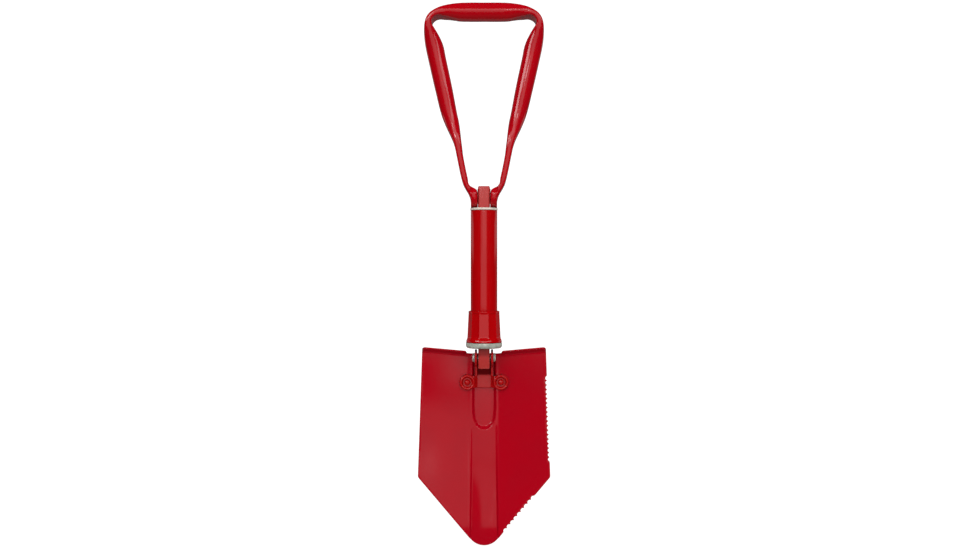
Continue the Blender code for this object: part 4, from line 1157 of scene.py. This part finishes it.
def build_bracket():
    bracket = raw_object("blade_bracket_enamel", *prism(strip_section(), -34.2, -21.3))
    upper_half = 8.3
    combine(bracket, box(-upper_half, upper_half, STRIP_FRONT, STRIP_BACK, -24.0, 1.0), "UNION")
    for side in (-1, 1):
        x0, x1 = sorted((side * EAR_IN, side * EAR_OUT))
        combine(bracket, prism(ear_outline(), x0, x1, "X"), "UNION")
        for shape, operation in ((lathe(lug_profile(), 72, "Y"), "UNION"),
                                 (cylinder(RIVET_BORE_R, 10, 30, 32, "Y"), "DIFFERENCE")):
            combine(bracket, shifted(shape, dx=side * LUG_X, dz=LUG_Z), operation)
    combine(bracket, cylinder(PIN_BORE_R, -12, 12, 48, "X"), "DIFFERENCE")
    # round relief about the tube's axis, only at the back and below the ears
    relief = raw_object("clear", *cylinder(19.75, -60.0, 60.0, 96))
    combine(relief, box(-30, 30, 14.0, 30, -60, -15.0), "INTERSECT")
    combine(bracket, relief, "DIFFERENCE")
    soften(bracket)
    finish_piece(bracket, "blade_assembly", RED_BRACKET, "blade_bracket")


def build_rivets():
    front = LUG_FLOOR - GAP
    back = FLAT_Y - dish(LUG_X) + SHEET + GAP + 0.1
    shank_r = 2.2
    # (radius, y) from the front head to the back head
    profile = round_corners([
        (0, front - 2.2), (1.5, front - 2.0), (2.7, front - 1.3), (3.3, front - 0.3),
        (3.4, front), (shank_r, front), (shank_r, back), (3.3, back),
        (3.3, back + 0.5), (2.6, back + 1.1), (0, back + 1.3)], 0.5, closed=False)
    for name, side in (("left", -1), ("right", 1)):
        obj = raw_object("blade_rivet_%s_enamel" % name,
                         *shifted(lathe(profile, 64, "Y"), dx=side * LUG_X, dz=LUG_Z))
        finish_piece(obj, "blade_assembly", RED_BRACKET, "blade_rivet_" + name)


# ---- handle ---------------------------------------------------------------------------------
# right half of the loop, from the top middle to the foot:
# (outer x, outer z, inner x, inner z, half depth along Y)
HALF_LOOP = (
    (0.0, 379.0, 0.0, 359.0, 10.0), (18.0, 379.0, 18.0, 359.0, 10.0),
    (26.0, 378.6, 26.0, 359.4, 10.3), (32.0, 377.6, 31.8, 360.6, 10.8),
    (38.3, 376.1, 37.9, 361.8, 11.5), (43.3, 374.3, 42.3, 362.6, 12.1),
    (48.0, 372.2, 46.3, 363.6, 12.6), (52.3, 369.9, 49.6, 363.3, 12.8),
    (56.3, 367.3, 52.4, 362.0, 12.8), (59.6, 363.9, 54.3, 360.2, 12.8),
    (61.9, 359.8, 55.4, 357.9, 12.8), (63.2, 355.0, 54.9, 354.2, 12.7),
    (63.8, 349.6, 52.5, 350.6, 12.2), (63.8, 343.6, 49.3, 345.8, 11.5),
    (63.2, 336.8, 46.0, 339.8, 10.9), (61.9, 329.0, 43.2, 332.6, 10.4),
    (59.4, 317.6, 40.9, 321.4, 10.2), (52.0, 285.4, 34.0, 289.0, 10.6),
    (44.9, 257.5, 28.6, 260.5, 10.9), (42.0, 250.0, 26.9, 252.6, 11.3),
    (38.9, 243.0, 25.7, 245.0, 11.9), (35.8, 236.6, 24.9, 238.2, 12.6),
    (33.2, 230.8, 24.2, 231.8, 13.1), (31.2, 224.8, 23.4, 225.5, 13.4),
    (29.4, 216.5, 22.4, 217.0, 13.5), (26.2, 200.6, 19.4, 201.0, 13.5),
    (23.9, 190.4, 17.2, 190.9, 13.4), (22.1, 184.6, 16.5, 185.9, 13.0),
    (19.6, 179.8, 14.6, 183.0, 12.6), (16.9, 175.2, 11.0, 181.0, 12.3),
    (15.1, 171.0, 7.8, 179.2, 12.3), (14.2, 167.0, 6.8, 175.9, 12.3),
    (14.0, 163.4, 6.7, 168.0, 12.3), (14.0, 158.6, 6.7, 158.8, 12.3),
)


def loop_stations():
    """Stations along the whole loop, left foot to right, joined by cubic curves."""
    spacing = 2.2
    left = [(-s[0], s[1], -s[2], s[3], s[4]) for s in HALF_LOOP[:0:-1]]
    stations = np.array(left + list(HALF_LOOP))
    mids = 0.5 * (stations[:, 0:2] + stations[:, 2:4])
    lengths = np.maximum(0.8, np.hypot(*(mids[1:] - mids[:-1]).T))
    along = np.concatenate([[0.0], np.cumsum(lengths)])
    secants = (stations[1:] - stations[:-1]) / (along[1:] - along[:-1])[:, None]
    slopes = np.zeros_like(stations)
    slopes[1:-1] = (secants[1:] + secants[:-1]) * 0.5
    slopes[0], slopes[-1] = secants[0], secants[-1]
    resampled = []
    for i in range(len(stations) - 1):
        length = along[i + 1] - along[i]
        n = max(2, int(round(length / spacing)))
        for k in range(n):
            t = k / n
            resampled.append((2 * t ** 3 - 3 * t ** 2 + 1) * stations[i]
                             + (t ** 3 - 2 * t ** 2 + t) * length * slopes[i]
                             + (-2 * t ** 3 + 3 * t ** 2) * stations[i + 1]
                             + (t ** 3 - t ** 2) * length * slopes[i + 1])
    resampled.append(stations[-1])
    return resampled


def tube_section(half_thick, half_wide):
    """Squeezed tube; its flats are slightly crowned."""
    flat = max(0.0, half_wide - half_thick)
    blunt = 2.0 / (2.0 + 0.9 * smoothstep((half_wide / half_thick - 1.4) / 1.2))
    points = []
    for k in range(HANDLE_SIDES):
        angle = 2.0 * math.pi * k / HANDLE_SIDES
        c, s = math.cos(angle), math.sin(angle)
        if half_wide >= half_thick:
            push = min(1.0, max(-1.0, s / 0.42))
            push = push * (1.5 - 0.5 * push * push)
            points.append((half_thick * math.copysign(abs(c) ** blunt, c),
                           flat * push + half_thick * math.copysign(abs(s) ** blunt, s)))
        else:
            points.append((half_thick * c, half_wide * s))
    return points


def handle_rings(verts, wall):
    """Section rings along the loop, wall mm inside the outer skin."""
    rings = []
    for outer_x, outer_z, inner_x, inner_z, depth in loop_stations():
        outer, inner = Vector((outer_x, outer_z)), Vector((inner_x, inner_z))
        outward = (outer - inner).normalized()
        mid = (outer + inner) * 0.5
        half_wide = depth - wall
        if wall > 0.0:
            # the hollow narrows to a slit in the feet
            pinch = smoothstep((194.0 - mid.y) / 8.0)
            half_wide = half_wide * (1.0 - pinch) + 1.8 * pinch
        section = tube_section((outer - inner).length * 0.5 - wall, half_wide)
        rings.append(add_loop(verts, [(mid.x + outward.x * out, y, mid.y + outward.y * out)
                                      for out, y in section]))
    return rings


def build_handle():
    verts, faces = [], []
    outer = handle_rings(verts, 0.0)
    inner = handle_rings(verts, HANDLE_WALL)
    for ring, following in zip(outer[:-1], outer[1:]):
        faces += bridge(ring, following)
    for ring, following in zip(inner[:-1], inner[1:]):
        faces += bridge(following, ring)
    faces += bridge(inner[0], outer[0]) + bridge(outer[-1], inner[-1])
    handle = raw_object("handle_loop_enamel", verts, faces)
    # round the feet about the pivot
    edge = TOP_RING_R + 0.2
    trim = raw_object("trim", *shifted(box(-edge, edge, -30, 30, -30, 30), dz=PIVOT_SPAN))
    combine(trim, shifted(cylinder(FOOT_R, -40, 40, 160, "X"), dz=PIVOT_SPAN), "DIFFERENCE")
    combine(handle, trim, "DIFFERENCE")
    # bore across the feet, and seats for the tie bar's discs
    seat_x = DISC_X + GAP
    for cutter in (cylinder(FOOT_BORE_R, -26, 26, 48, "X"),
                   cylinder(DISC_R + GAP, -seat_x, seat_x, 120, "X")):
        combine(handle, shifted(cutter, dz=PIVOT_SPAN), "DIFFERENCE")
    tidy(handle, 40.0)
    finish_piece(handle, "handle", RED_HANDLE, "handle_loop")


def dress_inner_nodes():
    """Pieces inside the others keep their CAD shape and get their finish."""
    for name, material in (("lower_guide", NYLON), ("collar_retainer", SPRING_STEEL),
                           ("handle_bush_left", STEEL), ("handle_bush_right", STEEL)):
        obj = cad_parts[name]
        obj.data.materials.clear()
        obj.data.materials.append(material)


# ---- studio -----------------------------------------------------------------------------------
def mirrored_room(g, x, y, z):
    """Brightness seen in reflections; azimuth is 0 at -Y and grows to +X, in degrees."""
    azimuth = g.mul(g.calc("ARCTAN2", x, g.mul(y, -1.0)), 180.0 / math.pi)
    height = g.mul(g.calc("ARCSINE", z), 180.0 / math.pi)
    away = g.calc("ABSOLUTE", azimuth)

    def patch(angle, across, up, soft, strength):
        """Soft-edged rectangle; soft is for its sides, then for its ends."""
        shape = g.mul(g.window(angle, across, soft[0]), g.window(height, up, soft[1]))
        return g.mul(shape, strength)

    dim = g.ramp(height, at=(-60.0, -25.0), to=(0.10, 0.012))
    # large card in front: brighter upwards, shaded at its upper left
    card = g.mul(g.window(azimuth, (-27.0, 22.0), soft=8.0),
                 g.mul(g.ramp(height, at=(-4.6, -3.6)),
                       g.ramp(height, at=(14.0, 21.0), to=(1.0, 0.0))))
    card = g.mul(card, g.ramp(height, at=(3.0, 12.0), to=(0.78, 1.08)))
    corner_shade = g.mul(g.ramp(azimuth, at=(-16.0, -6.0), to=(0.34, 0.0)),
                         g.ramp(height, at=(5.0, 9.0)))
    card = g.mul(card, g.sub(1.0, corner_shade))
    # wide lamp above the card, strongest at its left end
    lamp_power = g.add(g.ramp(azimuth, at=(14.0, 24.0), to=(2.1, 2.9)),
                       g.mul(g.ramp(azimuth, at=(-37.0, -29.0), to=(1.0, 0.0)), 3.9))
    lamp = patch(azimuth, (-62.0, 51.0), (17.5, 26.5), soft=(4.0, 2.0), strength=lamp_power)
    # small patches in front, low down
    low = g.mul(g.mul(g.window(azimuth, (-2.2, 13.0), soft=0.8),
                      g.ramp(height, at=(-15.0, -13.8))),
                g.ramp(height, at=(-7.9, -6.8), to=(0.45, 0.0)))
    inner = patch(azimuth, (-2.6, 1.4), (-8.2, -5.7), soft=(0.6, 0.3),
                  strength=g.ramp(height, at=(-6.9, -6.2), to=(0.56, 1.15)))
    spot = patch(azimuth, (4.0, 4.9), (-12.0, -9.6), soft=(0.5, 1.0), strength=1.3)
    dusk = patch(azimuth, (5.4, 7.6), (-6.4, -3.8), soft=(0.8, 0.7), strength=0.75)
    # small bright strip at the lamp's lower edge
    glint = patch(azimuth, (-12.0, -4.0), (15.6, 18.0), soft=(2.0, 0.7), strength=12.0)
    # behind the shovel, on both sides
    edge = patch(away, (103.0, 152.0), (3.6, 9.0), soft=(10.0, 1.2), strength=0.55)
    back = g.mul(g.ramp(away, at=(105.0, 125.0), to=(0.0, 0.12)),
                 g.window(height, (-25.0, 30.0), soft=6.0))
    under = g.mul(g.ramp(away, at=(85.0, 105.0), to=(0.0, 0.34)),
                  g.ramp(height, at=(-40.0, -22.0), to=(1.0, 0.0)))
    table = patch(away, (94.0, 125.0), (-16.0, -5.0), soft=(5.0, 2.0), strength=0.8)
    mirror = dim
    for part in (card, lamp, low, inner, spot, dusk, glint, edge, back, under, table):
        mirror = g.largest(mirror, part)
    return mirror, height


def soft_light(g, x, y, height):
    """Light on the surfaces: mostly from the front and above, some from behind."""
    front = g.ramp(y, at=(-0.15, -0.9))
    rear = g.ramp(y, at=(0.15, 0.9))
    around = g.add(0.34, g.add(g.mul(front, 1.02), g.mul(rear, 0.62)))
    around = g.mul(around, g.ramp(x, at=(-1.0, 1.0), to=(0.88, 1.12), smooth=False))
    return g.mul(around, g.ramp(height, at=(-60.0, 60.0), to=(0.12, 1.86), smooth=False))


def build_world():
    """White to the camera, cards and lamps to reflections, soft light to the rest."""
    camera_white = 1.05
    world = bpy.data.worlds.new("studio")
    bpy.context.scene.world = world
    world.use_nodes = True
    g = Graph(world.node_tree)
    out = g.node("ShaderNodeOutputWorld")
    background = g.node("ShaderNodeBackground")
    g.tree.links.new(background.outputs[0], out.inputs[0])
    x, y, z = g.split(g.node("ShaderNodeTexCoord").outputs["Generated"])
    mirror, height = mirrored_room(g, x, y, z)
    soft = soft_light(g, x, y, height)
    path = g.node("ShaderNodeLightPath")
    glossy, camera = path.outputs["Is Glossy Ray"], path.outputs["Is Camera Ray"]
    value = g.add(g.mul(glossy, mirror), g.mul(g.sub(1.0, glossy), soft))
    value = g.add(g.mul(camera, camera_white), g.mul(g.sub(1.0, camera), value))
    g.put(background.inputs["Strength"], value)
    background.inputs["Color"].default_value = (1.0, 1.0, 1.0, 1.0)
    world.cycles.sampling_method = "NONE"


def floor_paper():
    """Pale grey that also glows; the graph adds both shaders."""
    material = bpy.data.materials.new("floor_paper")
    material.use_nodes = True
    g = Graph(material.node_tree)
    out = g.node("ShaderNodeOutputMaterial")
    diffuse = g.node("ShaderNodeBsdfDiffuse")
    diffuse.inputs["Color"].default_value = (0.30, 0.30, 0.30, 1.0)
    glow = g.node("ShaderNodeEmission")
    glow.inputs["Strength"].default_value = 0.84
    both = g.node("ShaderNodeAddShader")
    g.tree.links.new(diffuse.outputs[0], both.inputs[0])
    g.tree.links.new(glow.outputs[0], both.inputs[1])
    g.tree.links.new(both.outputs[0], out.inputs[0])
    return material


def build_floor():
    """Pale floor swept up into a wall far behind the shovel; sizes in metres."""
    floor_z = CAD_BOUNDS[0][2] - 0.0015
    near_y, sweep_y, sweep_r = -3.0, 1.6, 0.9
    half_width, wall_height = 4.0, 3.0
    path = [(near_y, floor_z), (sweep_y, floor_z)]
    for k in range(1, 13):
        angle = math.radians(90.0 * k / 12)
        path.append((sweep_y + sweep_r * math.sin(angle),
                     floor_z + sweep_r * (1.0 - math.cos(angle))))
    path.append((sweep_y + sweep_r, floor_z + wall_height))
    verts = [(x, y, z) for y, z in path for x in (-half_width, half_width)]
    faces = [(2 * i, 2 * i + 1, 2 * i + 3, 2 * i + 2) for i in range(len(path) - 1)]
    mesh = bpy.data.meshes.new("studio_floor")
    mesh.from_pydata(verts, [], faces)
    mesh.shade_smooth()
    floor = bpy.data.objects.new("studio_floor", mesh)
    bpy.context.scene.collection.objects.link(floor)
    mesh.materials.append(floor_paper())
    floor.visible_glossy = False
    floor.visible_diffuse = False
    floor.visible_transmission = False
    floor.visible_shadow = False


def build_camera():
    """Level camera in front of the shovel, looking along +Y."""
    distance = 1.05
    camera = bpy.data.cameras.new("camera")
    camera.sensor_width = 36.0
    camera.lens = 36.19
    camera.clip_start = 0.05
    camera.clip_end = 20.0
    obj = bpy.data.objects.new("camera", camera)
    scene = bpy.context.scene
    scene.collection.objects.link(obj)
    obj.location = (0.00534, AXIS_Y * MM - distance, 0.1184)
    obj.rotation_euler = (math.radians(90.0), 0.0, 0.0)
    scene.camera = obj
    scene.view_settings.view_transform = "Standard"
    scene.view_settings.look = "None"


build_tie_bar()
build_shaft_tube()
build_top_ring()
build_collar()
build_lock_ring()
build_blade_pin()
build_washers()
build_handle_pin()
build_blade()
build_bracket()
build_rivets()
build_handle()
dress_inner_nodes()
build_world()
build_floor()
build_camera()
